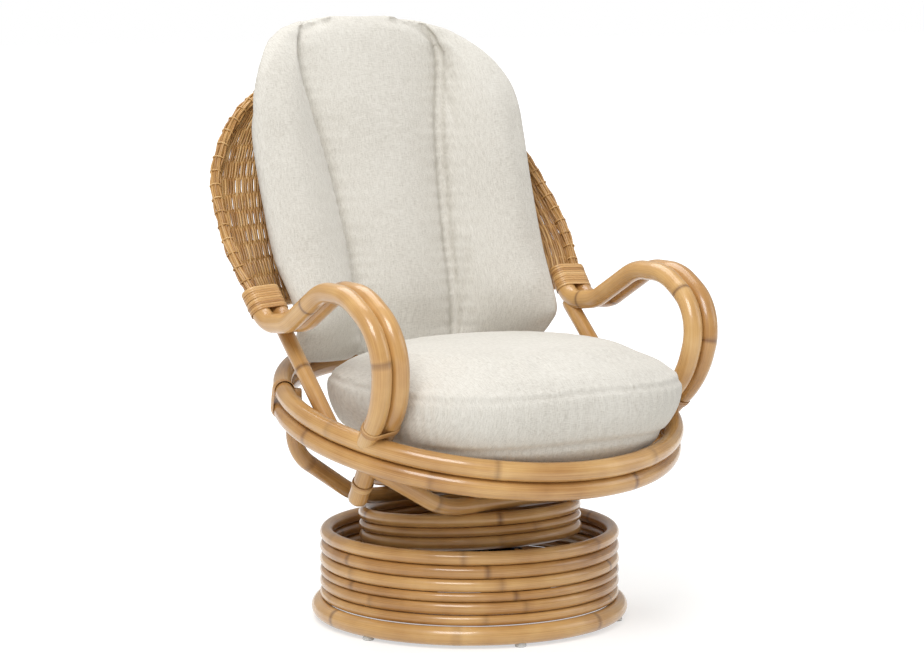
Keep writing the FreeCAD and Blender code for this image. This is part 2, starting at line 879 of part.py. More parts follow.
def binding(first, second, along, pole_radius, length, cutters):
    """Sleeve of wound cane round two poles whose centre lines pass these two points."""
    radius = pole_radius + binding_thickness
    run = V(along).normalize()
    level_second = second - run * (second - first).dot(run)
    across = (level_second - first).normalize()
    up = run.cross(across)
    half_sides = small_part_sides // 2
    corners = []
    for hub, side in ((level_second, 1), (first, -1)):
        for k in range(half_sides):
            a = math.pi * ((k + 0.5) / half_sides - 0.5)
            arm = across * (side * math.cos(a)) + up * (side * math.sin(a))
            corners.append(hub - run * (length / 2) + arm * radius)
    sleeve = Part.Face(closed_polygon(corners)).extrude(run * length)
    return cut_pieces(sleeve, cutters)


def cut_pieces(shape, cutters):
    for cutter in cutters:
        shape = shape.cut(cutter)
    return shape


def corner_binding(cutters):
    """Wide woven band over the rear ends of both arm poles."""
    centre = arm_end - arm_rise_direction * (corner_binding_length / 2)
    return binding(
        centre, centre + inward, arm_rise_direction, arm_pole_radius, corner_binding_length, cutters)


def ring_binding(cutters):
    """Band that ties the rear bearer to both seat rings."""
    low = on_ring(lower_ring_centre, rear_bearer_y)
    high = on_ring(upper_ring_centre, rear_bearer_y)
    along = V(lower_ring_centre.y - rear_bearer_y, low.x, 0)
    return binding(low, high, along, seat_pole_radius, ring_binding_length, cutters)


def foot_binding(cutters):
    """Narrow band round both arm poles just above the seat rings."""
    along = (arm_knee - arm_foot).normalize()
    outer_point = arm_foot + along * (seat_pole_radius + foot_binding_rise)
    inner_run = (arm_knee + inward - stub_corner).normalize()
    share = (outer_point - stub_corner).dot(inner_run)
    inner_point = stub_corner + inner_run * share
    return binding(outer_point, inner_point, along, arm_pole_radius, foot_binding_length, cutters)


def stub_binding(cutters):
    """Narrow band round the end of the inner arm pole below the rings."""
    along = (stub_corner - stub_end).normalize()
    start = stub_end + along * stub_binding_place
    end = start + along * stub_binding_length
    return cut_pieces(straight_pole(start, end, arm_pole_radius + binding_thickness), cutters)


# Cushions

seat_cushion_bottom = slat_centre_height(slat_front_y) + slat_radius + soft_clearance

seat_cushion_half_width = seat_ring_radius - seat_cushion_inset
seat_cushion_half_depth = seat_ring_radius - seat_cushion_depth_inset
seat_cushion_centre_y = seat_cushion_setback - seat_ring_radius


def seat_cushion_outline(level):
    """Rounded square outline round the seat cushion's centre, in short straight steps."""
    rise, width_share, depth_share, squareness = level
    corners = []
    for k in range(cushion_steps):
        a = 2 * math.pi * k / cushion_steps
        c = math.cos(a)
        s = math.sin(a)
        x = seat_cushion_half_width * width_share * math.copysign(abs(c) ** (2 / squareness), c)
        y = seat_cushion_half_depth * depth_share * math.copysign(abs(s) ** (2 / squareness), s)
        corners.append(V(x, seat_cushion_centre_y + y, seat_cushion_bottom + rise))
    return corners


def seat_cushion():
    """Boxed cushion: drawn-in sides between two seams and a low crown."""
    return solid_from_rows([seat_cushion_outline(level) for level in seat_cushion_levels], False)


back_cushion_half_width = seat_ring_radius - back_cushion_inset


def back_cushion_outline(level):
    """Level outline of the back cushion: three swelling panels, two sides and the back."""
    height, seam_share, seam_depth, half_share, side_depth, swell, back_depth = level
    z = shell_bottom + height
    seam_x = back_cushion_half_width * seam_share
    half = back_cushion_half_width * half_share
    seam_y = shell_deep_y + seam_depth
    side_y = shell_deep_y + side_depth
    if back_depth is None:
        back_y = shell_deep(z) - soft_clearance
    else:
        back_y = shell_deep_y + back_depth
    edge_x = half - side_tuck
    front = V(edge_x, side_y - side_round, z)
    rear = V(edge_x, side_y + side_round, z)
    seam = V(seam_x, seam_y, z)
    chord = front - seam
    outward = V(chord.y, -chord.x, 0).normalize()
    crown = (seam + front) * 0.5 + outward * swell
    left_half = along_arc(V(0, seam_y - swell, z), V(seam_x * 0.6, seam_y - swell * 0.7, z), seam, 3)
    left_half += along_arc(seam, crown, front, 6)[1:]
    left_half += along_arc(front, V(half, side_y, z), rear, 4)[1:]
    back = along_arc(rear, V(0, back_y, z), V(-rear.x, rear.y, z), 12)
    left_half += back[1:7]
    right_half = [V(-point.x, point.y, z) for point in reversed(left_half[1:-1])]
    return left_half + right_half


def back_cushion():
    """Cushion with three padded channels, narrow at the foot and round at the top."""
    return solid_from_rows([back_cushion_outline(level) for level in back_cushion_levels], False)


def export(name, shape):
    shape.exportStep("parts/" + name + ".step")
    print(name, len(shape.Solids), round(shape.Volume / 1000.0, 1), shape.isValid())


def main():
    os.makedirs("parts", exist_ok=True)
    foot_ring = base_foot_ring()
    export("base_foot_ring", foot_ring)
    rings = []
    for index in range(len(stack_pole_radii)):
        ring = base_ring(index)
        rings.append(ring)
        export("base_ring_" + str(index + 1), ring)
    export("floor_glides", floor_glides(foot_ring))
    export("base_cross", base_cross(rings))
    export("swivel_lower_plate", swivel_lower_plate())
    export("swivel_bolts", swivel_bolts())
    export("swivel_pin", swivel_pin())
    export("swivel_upper_plate", swivel_upper_plate())
    export("rocker_bracket", rocker_bracket())
    export("pivot_shaft", pivot_shaft())
    export("front_springs", rocker_springs(-1))
    export("rear_springs", rocker_springs(1))
    export("rocker_top_frame", rocker_top_frame())
    drum = []
    for index in range(len(drum_pole_radii)):
        ring = drum_ring(index)
        drum.append(ring)
        export("drum_ring_" + str(index + 1), ring)
    export("drum_cross", drum_cross(drum))
    lower = seat_ring(lower_ring_centre)
    upper = seat_ring(upper_ring_centre)
    export("seat_ring_lower", lower)
    export("seat_ring_upper", upper)
    front = front_bearer([drum[0], lower, upper])
    rear = rear_bearer([drum[0], lower, upper])
    export("front_bearer", front)
    export("rear_bearer", rear)
    export("seat_slats", seat_slats([front, rear]))
    outer = arm_outer([upper, lower])
    inner = arm_inner([upper, lower, front, outer])
    export("arm_outer_left", outer)
    export("arm_outer_right", mirrored(outer))
    export("arm_inner_left", inner)
    export("arm_inner_right", mirrored(inner))
    hoop = back_hoop([outer, mirrored(outer)])
    export("back_hoop", hoop)
    left_prop = prop([upper, lower, inner, outer])
    export("prop_left", left_prop)
    export("prop_right", mirrored(left_prop))
    arm_poles = [inner, mirrored(inner), outer, mirrored(outer)]
    rail = back_rail(arm_poles)
    export("back_rail", rail)
    shell = back_shell([hoop] + arm_poles)
    export("back_shell", shell)
    stile = back_stile([upper, lower, rail, shell])
    export("back_stile_left", stile)
    export("back_stile_right", mirrored(stile))
    band = corner_binding([outer, inner, hoop, left_prop, shell, rail])
    export("corner_binding_left", band)
    export("corner_binding_right", mirrored(band))
    band = ring_binding([lower, upper, rear])
    export("ring_binding_left", band)
    export("ring_binding_right", mirrored(band))
    band = foot_binding([outer, inner, upper, lower])
    export("foot_binding_left", band)
    export("foot_binding_right", mirrored(band))
    band = stub_binding([inner, lower])
    export("stub_binding_left", band)
    export("stub_binding_right", mirrored(band))
    export("seat_cushion", seat_cushion())
    export("back_cushion", back_cushion())


main()
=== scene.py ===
"""Rattan swivel rocker chair: poles, woven back, cane bindings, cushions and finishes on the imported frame."""
import math

import bpy
import numpy as np
from mathutils import Matrix, Vector


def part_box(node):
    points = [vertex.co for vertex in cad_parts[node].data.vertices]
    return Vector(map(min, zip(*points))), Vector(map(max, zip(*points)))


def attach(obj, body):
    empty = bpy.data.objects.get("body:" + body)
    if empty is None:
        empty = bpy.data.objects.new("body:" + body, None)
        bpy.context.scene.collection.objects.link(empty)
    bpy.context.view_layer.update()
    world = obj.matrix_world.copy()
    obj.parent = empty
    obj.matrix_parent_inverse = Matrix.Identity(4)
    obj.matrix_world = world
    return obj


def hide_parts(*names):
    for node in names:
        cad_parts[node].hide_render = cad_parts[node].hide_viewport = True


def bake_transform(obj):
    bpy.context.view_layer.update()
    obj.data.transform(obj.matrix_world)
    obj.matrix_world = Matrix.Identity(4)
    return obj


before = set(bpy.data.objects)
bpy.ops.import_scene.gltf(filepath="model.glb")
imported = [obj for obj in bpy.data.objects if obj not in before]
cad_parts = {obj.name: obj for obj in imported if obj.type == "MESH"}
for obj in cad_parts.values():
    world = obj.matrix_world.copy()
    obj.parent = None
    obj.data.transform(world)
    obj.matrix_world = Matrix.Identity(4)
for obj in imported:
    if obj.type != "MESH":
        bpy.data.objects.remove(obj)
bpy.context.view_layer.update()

bl_info = {
    "name": "Rattan swivel rocker chair",
    "version": (1, 0, 0),
    "blender": (4, 5, 0),
    "location": "View3D > Sidebar > Rattan chair",
    "description": "Builds the poles, woven back, bindings and cushions of a rattan swivel rocker chair",
    "category": "Object",
}

# Image and lens of the picture's view, in pixels of a 924 x 653 image
IMAGE_WIDTH = 924
FOCAL_PIXELS = 2865.6
SENSOR_WIDTH = 36.0

# Main sizes, in metres, as the solids have them
FOOT_RING = (0.264, 0.016, 0.021)
STACK_OUTER = 0.2648
STACK_RADII = (0.009, 0.0115, 0.008, 0.0115, 0.0115, 0.012)
DRUM_LEAN = -4.3
DRUM_TOP = 0.193
DRUM_OUTER = 0.197
DRUM_RADII = (0.0115, 0.008, 0.012)
RING_RADIUS = 0.346
RING_POLE = 0.0165
RING_PITCH = 12.2
LOWER_RING = (0.0, -0.0214, 0.3532)
BEARER_POLE = 0.0145
FRONT_BEARER_Y = -0.150
REAR_BEARER_Y = 0.112
BEARER_FLAT = 0.160
BEARER_BEND = 0.140
REAR_TUCK = 0.024
REAR_SHOULDER = 0.303
SHOULDER_BEND = 0.070
SLAT_POLE = 0.008
SLAT_PITCH = 0.052
SLAT_OVERHANG = 0.038
ARM_POLE = 0.017
ARM_GAP = 0.0346
SHELL_BOTTOM = 0.562
SHELL_TOP = 0.957
SHELL_DEEP = 0.292
SHELL_LEAN = 13.0


# ---------------------------------------------------------------- numbers and paths


def unit(v):
    """Vectors scaled to length one."""
    v = np.asarray(v, float)
    return v / np.linalg.norm(v, axis=-1, keepdims=True)


def smoothstep(x):
    x = np.clip(x, 0.0, 1.0)
    return x * x * (3.0 - 2.0 * x)


def hermite_rows(rows, count):
    """Rows of a table at count equal steps, on cubic Hermite pieces with half the neighbours' difference as slope."""
    rows = np.asarray(rows, float)
    slopes = np.gradient(rows, axis=0)
    t = np.linspace(0.0, len(rows) - 1.0, count)
    i = np.minimum(t.astype(int), len(rows) - 2)
    f = (t - i)[:, None]
    a, b, sa, sb = rows[i], rows[i + 1], slopes[i], slopes[i + 1]
    start = (2 * f**3 - 3 * f**2 + 1) * a + (f**3 - 2 * f**2 + f) * sa
    return start + (3 * f**2 - 2 * f**3) * b + (f**3 - f**2) * sb


def even_steps(points, step):
    """The same line with points an equal step apart, by its running length."""
    points = np.asarray(points, float)
    run = np.concatenate([[0.0], np.cumsum(np.linalg.norm(np.diff(points, axis=0), axis=1))])
    count = max(2, int(round(run[-1] / step)) + 1)
    at = np.linspace(0.0, run[-1], count)
    return np.stack([np.interp(at, run, points[:, k]) for k in range(3)], axis=1)


def bent_path(corners, bends, step=0.006):
    """Straight runs joined by tangent arcs: at each corner an arc of the given bend radius touches both runs."""
    corners = [np.asarray(c, float) for c in corners]
    parts = [corners[:1]]
    for before, corner, after, bend in zip(corners, corners[1:], corners[2:], bends):
        back, ahead = unit(before - corner), unit(after - corner)
        half = 0.5 * math.acos(float(np.clip(back @ ahead, -1, 1)))
        centre = corner + unit(back + ahead) * bend / math.sin(half)
        start = corner + back * bend / math.tan(half)
        axis = unit(start - centre)
        across = unit(ahead - axis * (ahead @ axis))
        a = np.linspace(0.0, math.pi - 2 * half, 24)[:, None]
        parts.append(centre + bend * (np.cos(a) * axis + np.sin(a) * across))
    parts.append(corners[-1:])
    return even_steps(np.vstack(parts), step)


def mirrored(points):
    return np.asarray(points, float) * (-1.0, 1.0, 1.0)


def ring_path(centre, radius, pitch=0.0, step=0.008):
    """A circle about centre whose plane is tipped by pitch degrees about X, so that its front is low."""
    count = int(2 * math.pi * radius / step)
    a = 2 * math.pi * np.arange(count) / count
    p = math.radians(pitch)
    out, in_plane = radius * np.cos(a), radius * np.sin(a)
    return np.stack([out, in_plane * math.cos(p), in_plane * math.sin(p)], 1) + centre


def ring_normal(pitch):
    p = math.radians(pitch)
    return np.array([0.0, -math.sin(p), math.cos(p)])


def on_ring(centre, y):
    """Point of a seat ring's centre line at depth y, on the sitter's left."""
    p = math.radians(RING_PITCH)
    rise = (y - centre[1]) / math.cos(p)
    return np.array([math.sqrt(RING_RADIUS**2 - rise**2), y, centre[2] + rise * math.sin(p)])


UPPER_RING = tuple(np.array(LOWER_RING) + ring_normal(RING_PITCH) * 2 * RING_POLE)


# ---------------------------------------------------------------- surfaces and meshes


def surface(points, along, around, closed=False, joint=None, tone=0.5):
    """One family of tubes: points[strip, step, side], with running length along and around for its pattern."""
    points = np.asarray(points, float)
    if points.ndim == 3:
        points = points[None]
    strips, steps = points.shape[:2]
    joint = np.zeros((strips, steps)) if joint is None else np.broadcast_to(joint, (strips, steps))
    tone = np.broadcast_to(np.asarray(tone, float).reshape(-1, 1), (strips, 1))
    return {"points": points, "along": along, "around": around, "closed": closed, "joint": joint, "tone": tone}


def tube(path, radius, sides, ref, closed=False):
    """Points of a tube: centre line plus radius times (cos b side + sin b up), side being tangent x ref."""
    path = np.asarray(path, float)
    if closed:
        tangent = unit(np.roll(path, -1, -2) - np.roll(path, 1, -2))
    else:
        tangent = unit(np.gradient(path, axis=-2))
    side = unit(np.cross(tangent, ref))
    up = np.cross(side, tangent)
    b = 2 * math.pi * np.arange(sides) / sides
    radius = np.broadcast_to(radius, path.shape[:-1])[..., None, None]
    ring = np.cos(b)[:, None] * side[..., None, :] + np.sin(b)[:, None] * up[..., None, :]
    return path[..., None, :] + radius * ring


def quads(surface_, first):
    """Corner indices and pattern coordinates of one family's faces, and its end caps."""
    k, n, m = surface_["points"].shape[:3]
    steps = n if surface_["closed"] else n - 1
    s, i, j = np.meshgrid(np.arange(k), np.arange(steps), np.arange(m), indexing="ij")
    ii = np.stack([i, i, i + 1, i + 1], -1)
    jj = np.stack([j, j + 1, j + 1, j], -1)
    index = first + s[..., None] * n * m + (ii % n) * m + jj % m
    length = np.append(surface_["along"], 2 * surface_["along"][-1] - surface_["along"][-2])
    u = length[ii]
    v = (surface_["around"] / m) * jj
    caps = []
    if not surface_["closed"]:
        base = first + np.arange(k)[:, None] * n * m
        caps = [base + np.arange(m)[None, ::-1], base + (n - 1) * m + np.arange(m)[None]]
    return index.reshape(-1, 4), np.stack([u, v], -1).reshape(-1, 4, 2), caps


def piece(name, surfaces, material, body, replaces=()):
    """A mesh object made of tube families, with its pattern coordinates and the tone and joint of each point."""
    points, joints, tones, faces, uvs, caps = [], [], [], [], [], []
    first = 0
    for part in surfaces:
        k, n, m = part["points"].shape[:3]
        index, uv, ends = quads(part, first)
        points.append(part["points"].reshape(-1, 3))
        joints.append(np.repeat(part["joint"].reshape(-1), m))
        tones.append(np.repeat(np.broadcast_to(part["tone"], (k, n)).reshape(-1), m))
        faces.append(index)
        uvs.append(uv)
        caps += ends
        first += k * n * m
    points = np.vstack(points)
    faces = np.vstack(faces)
    uvs = np.vstack(uvs)
    a, b, c, d = (points[faces[:, q]] for q in range(4))
    volume = np.einsum("ij,ij->i", a, np.cross(b, c) + np.cross(c, d)).sum()
    loops = [faces.reshape(-1)]
    totals = [np.full(len(faces), 4)]
    for cap in caps:
        loops.append(cap.reshape(-1))
        totals.append(np.full(len(cap), cap.shape[1]))
    totals = np.concatenate(totals)
    starts = np.concatenate([[0], np.cumsum(totals)[:-1]])
    mesh = bpy.data.meshes.new(name)
    mesh.vertices.add(len(points))
    mesh.vertices.foreach_set("co", points.astype(np.float32).reshape(-1))
    loops = np.concatenate(loops)
    mesh.loops.add(len(loops))
    mesh.loops.foreach_set("vertex_index", loops.astype(np.int32))
    mesh.polygons.add(len(totals))
    mesh.polygons.foreach_set("loop_start", starts.astype(np.int32))
    mesh.polygons.foreach_set("loop_total", totals.astype(np.int32))
    layer = mesh.uv_layers.new(name="grain")
    uv_all = np.zeros((len(loops), 2))
    uv_all[: len(faces) * 4] = uvs.reshape(-1, 2)
    layer.data.foreach_set("uv", uv_all.astype(np.float32).reshape(-1))
    for label, values in (("joint", joints), ("tone", tones)):
        attribute = mesh.attributes.new(label, "FLOAT", "POINT")
        attribute.data.foreach_set("value", np.concatenate(values).astype(np.float32))
    mesh.update(calc_edges=True)
    mesh.validate()
    if volume < 0:
        mesh.flip_normals()
    mesh.polygons.foreach_set("use_smooth", np.ones(len(mesh.polygons), bool))
    mesh.materials.append(material)
    return place(bpy.data.objects.new(name, mesh), body, replaces)


def place(obj, body, replaces=()):
    """Links a finished piece, lets it ride its body and hides the solids that it stands for."""
    bpy.context.scene.collection.objects.link(obj)
    if body:
        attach(obj, body)
    if replaces:
        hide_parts(*replaces)
    return obj


# ---------------------------------------------------------------- materials


def linear(hex_colour):
    """An sRGB hex colour as linear red, green, blue and alpha."""
    values = [int(hex_colour[i : i + 2], 16) / 255.0 for i in (1, 3, 5)]
    return [v / 12.92 if v <= 0.04045 else ((v + 0.055) / 1.055) ** 2.4 for v in values] + [1.0]


def add(tree, kind, settings=None, inputs=None, links=None):
    """Adds one node: settings are its properties, inputs its socket values, links what feeds its sockets."""
    node = tree.nodes.new(kind)
    for key, value in (settings or {}).items():
        setattr(node, key, value)
    for key, value in (inputs or {}).items():
        node.inputs[key].default_value = value
    for key, source in (links or {}).items():
        tree.links.new(source, node.inputs[key])
    return node


def start_material(name):
    material = bpy.data.materials.new(name)
    material.use_nodes = True
    material.node_tree.nodes.clear()
    return material, material.node_tree


def finish_material(tree, inputs, links):
    shader = add(tree, "ShaderNodeBsdfPrincipled", inputs=inputs, links=links)
    add(tree, "ShaderNodeOutputMaterial", links={"Surface": shader.outputs[0]})


def ramp(tree, factor, stops):
    """A colour ramp through (place, sRGB hex) stops."""
    node = add(tree, "ShaderNodeValToRGB", links={"Fac": factor})
    elements = node.color_ramp.elements
    while len(elements) < len(stops):
        elements.new(0.5)
    for element, (where, colour) in zip(elements, stops):
        element.position = where
        element.color = linear(colour)
    return node.outputs[0]


def mix(tree, factor, a, b, blend="MIX"):
    node = add(tree, "ShaderNodeMix", {"data_type": "RGBA", "blend_type": blend})
    for key, value in (("Factor", factor), ("A", a), ("B", b)):
        socket = [s for s in node.inputs if s.name == key and s.enabled][0]
        if hasattr(value, "is_linked"):
            tree.links.new(value, socket)
        else:
            socket.default_value = value
    return [s for s in node.outputs if s.enabled][0]


def math_node(tree, operation, a, b=0.0, clamp=False):
    node = add(tree, "ShaderNodeMath", {"operation": operation, "use_clamp": clamp})
    for k, value in enumerate((a, b)):
        if hasattr(value, "is_linked"):
            tree.links.new(value, node.inputs[k])
        else:
            node.inputs[k].default_value = value
    return node.outputs[0]


def noise(tree, vector, scale, detail=3.0, roughness=0.5):
    return add(
        tree,
        "ShaderNodeTexNoise",
        inputs={"Scale": scale, "Detail": detail, "Roughness": roughness},
        links={"Vector": vector},
    ).outputs[0]


def stretched(tree, source, scale):
    """Coordinates multiplied by scale, in patterns per metre along each axis."""
    return add(tree, "ShaderNodeMapping", inputs={"Scale": scale}, links={"Vector": source}).outputs[0]


def attribute(tree, name):
    return add(tree, "ShaderNodeAttribute", {"attribute_name": name}).outputs["Fac"]


def lacquered_rattan(settings):
    """Peeled rattan pole, stained honey brown and lacquered: fibres run along it, each joint is a thin dark line."""
    material, tree = start_material("Lacquered rattan pole")
    uv = add(tree, "ShaderNodeUVMap", {"uv_map": "grain"}).outputs[0]
    place_ = add(tree, "ShaderNodeTexCoord").outputs["Object"]
    # fibres about 1.5 mm wide and 120 mm long
    fibre = noise(tree, stretched(tree, uv, (8.0, 650.0, 1.0)), 1.0, 3.0)
    patches = noise(tree, place_, 14.0, 3.0)
    cloud = noise(tree, stretched(tree, uv, (5.0, 22.0, 1.0)), 1.0, 2.0)
    tone = attribute(tree, "tone")
    level = math_node(tree, "ADD", math_node(tree, "MULTIPLY", fibre, 0.38), math_node(tree, "MULTIPLY", patches, 0.42))
    level = math_node(tree, "ADD", level, math_node(tree, "MULTIPLY", cloud, 0.3))
    level = math_node(tree, "ADD", level, math_node(tree, "MULTIPLY", tone, 0.3))
    level = math_node(tree, "SUBTRACT", level, 0.2, clamp=True)
    colour = ramp(
        tree,
        level,
        [(0.22, settings.dark_hex), (0.42, settings.middle_hex), (0.62, settings.light_hex), (0.85, "#E2C48E")],
    )
    joint = attribute(tree, "joint")
    colour = mix(tree, math_node(tree, "MULTIPLY", joint, 0.75, clamp=True), colour, linear("#5E3517"))
    bump = add(
        tree,
        "ShaderNodeBump",
        inputs={"Strength": 0.12, "Distance": 0.0006},
        links={"Height": fibre},
    ).outputs[0]
    finish_material(
        tree,
        {"Roughness": settings.roughness, "Coat Weight": 0.6, "Coat Roughness": 0.12, "IOR": 1.5},
        {"Base Color": colour, "Normal": bump},
    )
    return material


def woven_cane(settings):
    """Round cane core woven raw and lacquered: each strand has its own tone."""
    material, tree = start_material("Woven cane core")
    uv = add(tree, "ShaderNodeUVMap", {"uv_map": "grain"}).outputs[0]
    fibre = noise(tree, stretched(tree, uv, (30.0, 900.0, 1.0)), 1.0, 2.0)
    place_ = add(tree, "ShaderNodeTexCoord").outputs["Object"]
    patches = noise(tree, place_, 22.0, 3.0)
    level = math_node(tree, "ADD", math_node(tree, "MULTIPLY", fibre, 0.25), math_node(tree, "MULTIPLY", patches, 0.35))
    level = math_node(tree, "ADD", level, math_node(tree, "MULTIPLY", attribute(tree, "tone"), 0.42), clamp=True)
    colour = ramp(tree, level, [(0.2, "#7E5428"), (0.42, "#AA7C44"), (0.62, "#CBA063"), (0.85, "#E4C592")])
    bump = add(tree, "ShaderNodeBump", inputs={"Strength": 0.2, "Distance": 0.0004}, links={"Height": fibre}).outputs[0]
    finish_material(
        tree,
        {"Roughness": 0.42, "Coat Weight": 0.25, "Coat Roughness": 0.25, "IOR": 1.5},
        {"Base Color": colour, "Normal": bump},
    )
    return material


def cane_peel(settings):
    """Split cane peel wound round the joints: flat glossy strips, pale straw brown."""
    material, tree = start_material("Cane peel binding")
    uv = add(tree, "ShaderNodeUVMap", {"uv_map": "grain"}).outputs[0]
    fibre = noise(tree, stretched(tree, uv, (25.0, 1100.0, 1.0)), 1.0, 2.0)
    tone = math_node(tree, "MULTIPLY", attribute(tree, "tone"), 0.5)
    level = math_node(tree, "ADD", math_node(tree, "MULTIPLY", fibre, 0.45), tone)
    colour = ramp(tree, level, [(0.2, "#9A6A36"), (0.5, "#C4955A"), (0.8, "#DDB77E")])
    bump = add(tree, "ShaderNodeBump", inputs={"Strength": 0.2, "Distance": 0.0003}, links={"Height": fibre}).outputs[0]
    finish_material(
        tree,
        {"Roughness": 0.4, "Coat Weight": 0.3, "Coat Roughness": 0.2, "IOR": 1.5},
        {"Base Color": colour, "Normal": bump},
    )
    return material


def linen(settings):
    """Plain weave of linen and cotton in an ecru grey: slubs along both threads, no shine."""
    material, tree = start_material("Plain weave linen")
    place_ = add(tree, "ShaderNodeTexCoord").outputs["Object"]
    # threads are drawn about 1 mm apart and 11 mm long, so that they show from a step away
    across = noise(tree, stretched(tree, place_, (90.0, 900.0, 900.0)), 1.0, 2.0)
    upward = noise(tree, stretched(tree, place_, (900.0, 90.0, 90.0)), 1.0, 2.0)
    weave = math_node(tree, "ADD", math_node(tree, "MULTIPLY", across, 0.5), math_node(tree, "MULTIPLY", upward, 0.5))
    cloud = noise(tree, place_, 7.0, 2.0)
    level = math_node(tree, "ADD", math_node(tree, "MULTIPLY", weave, 0.85), math_node(tree, "MULTIPLY", cloud, 0.15))
    colour = ramp(tree, level, [(0.34, settings.shade_hex), (0.5, settings.cloth_hex), (0.68, settings.light_hex)])
    strength = {"Strength": 0.35, "Distance": 0.0006}
    bump = add(tree, "ShaderNodeBump", inputs=strength, links={"Height": weave}).outputs[0]
    finish_material(
        tree,
        {"Roughness": 0.92, "Sheen Weight": 0.15, "Sheen Roughness": 0.5, "Specular IOR Level": 0.2},
        {"Base Color": colour, "Normal": bump},
    )
    return material


def sawn_timber():
    """Stained hardwood rails: grain along the boards, matt."""
    material, tree = start_material("Stained hardwood")
    place_ = add(tree, "ShaderNodeTexCoord").outputs["Object"]
    grain = noise(tree, stretched(tree, place_, (40.0, 40.0, 260.0)), 1.0, 4.0)
    colour = ramp(tree, grain, [(0.3, "#3A2413"), (0.7, "#6B4526")])
    finish_material(tree, {"Roughness": 0.6}, {"Base Color": colour})
    return material


def dark_steel():
    """Pressed steel plate in black enamel, with faint dust."""
    material, tree = start_material("Black enamelled steel")
    place_ = add(tree, "ShaderNodeTexCoord").outputs["Object"]
    dust = noise(tree, place_, 60.0, 4.0)
    colour = ramp(tree, dust, [(0.35, "#161412"), (0.75, "#2B2724")])
    finish_material(tree, {"Roughness": 0.38, "Coat Weight": 0.3, "Coat Roughness": 0.2}, {"Base Color": colour})
    return material


def bright_steel():
    """Zinc plated steel with a fine spangle."""
    material, tree = start_material("Zinc plated steel")
    place_ = add(tree, "ShaderNodeTexCoord").outputs["Object"]
    spangle = noise(tree, place_, 240.0, 2.0)
    colour = ramp(tree, spangle, [(0.3, "#9A9C9E"), (0.7, "#C9CACB")])
    finish_material(tree, {"Roughness": 0.32, "Metallic": 1.0}, {"Base Color": colour})
    return material


def spring_steel():
    """Oil tempered spring wire: dark blue grey, slightly polished."""
    material, tree = start_material("Oil tempered spring wire")
    place_ = add(tree, "ShaderNodeTexCoord").outputs["Object"]
    wear = noise(tree, place_, 120.0, 3.0)
    colour = ramp(tree, wear, [(0.3, "#3B3D42"), (0.7, "#62656B")])
    finish_material(tree, {"Roughness": 0.35, "Metallic": 1.0}, {"Base Color": colour})
    return material


def clear_glide():
    """Clear moulded plastic feet, slightly milky."""
    material, tree = start_material("Clear moulded plastic")
    place_ = add(tree, "ShaderNodeTexCoord").outputs["Object"]
    haze = noise(tree, place_, 90.0, 2.0)
    colour = ramp(tree, haze, [(0.3, "#D9DAD8"), (0.7, "#F1F2F0")])
    finish_material(tree, {"Roughness": 0.18, "Transmission Weight": 0.35, "IOR": 1.49}, {"Base Color": colour})
    return material


MAKERS = {
    "pole": (lacquered_rattan, "poles"),
    "weave": (woven_cane, "weave"),
    "peel": (cane_peel, "weave"),
    "linen": (linen, "cushions"),
    "timber": (sawn_timber, None),
    "dark_steel": (dark_steel, None),
    "bright_steel": (bright_steel, None),
    "spring": (spring_steel, None),
    "glide": (clear_glide, None),
}
made = {}


def finish(name):
    """The material of that finish, made once."""
    if name not in made:
        maker, group = MAKERS[name]
        made[name] = maker(getattr(bpy.context.scene.rattan_chair, group)) if group else maker()
    return made[name]


# ---------------------------------------------------------------- settings


class PoleSettings(bpy.types.PropertyGroup):
    joint_spacing: bpy.props.FloatProperty(
        name="Joint spacing", description="Mean distance between the joints of a pole", default=0.31, unit="LENGTH"
    )
    roughness: bpy.props.FloatProperty(
        name="Lacquer roughness", description="Roughness of the lacquered poles", default=0.34, min=0.0, max=1.0
    )
    light_hex: bpy.props.StringProperty(name="Light", description="Lightest pole colour, sRGB hex", default="#D0A466")
    middle_hex: bpy.props.StringProperty(name="Middle", description="Middle pole colour, sRGB hex", default="#B4844A")
    dark_hex: bpy.props.StringProperty(name="Dark", description="Darkest pole colour, sRGB hex", default="#8A5C2C")


class WeaveSettings(bpy.types.PropertyGroup):
    strand_pitch: bpy.props.FloatProperty(
        name="Strand pitch", description="Distance between upright strands at the foot", default=0.0045, unit="LENGTH"
    )
    strand_radius: bpy.props.FloatProperty(
        name="Strand radius", description="Radius of an upright strand", default=0.0025, unit="LENGTH"
    )
    row_pitch: bpy.props.FloatProperty(
        name="Row pitch", description="Distance between the level stakes", default=0.028, unit="LENGTH"
    )
    strip_width: bpy.props.FloatProperty(
        name="Strip width", description="Width of the cane peel in the bindings", default=0.0046, unit="LENGTH"
    )


class CushionSettings(bpy.types.PropertyGroup):
    voxel: bpy.props.FloatProperty(
        name="Voxel", description="Grain of the cloth mesh", default=0.006, unit="LENGTH"
    )
    cloth_hex: bpy.props.StringProperty(name="Cloth", description="Cloth colour, sRGB hex", default="#D2CEC5")
    light_hex: bpy.props.StringProperty(name="Light thread", description="Light thread, sRGB hex", default="#E0DDD5")
    shade_hex: bpy.props.StringProperty(name="Dark thread", description="Dark thread, sRGB hex", default="#BDB8AE")


class ChairSettings(bpy.types.PropertyGroup):
    poles: bpy.props.PointerProperty(type=PoleSettings)
    weave: bpy.props.PointerProperty(type=WeaveSettings)
    cushions: bpy.props.PointerProperty(type=CushionSettings)


# ---------------------------------------------------------------- poles


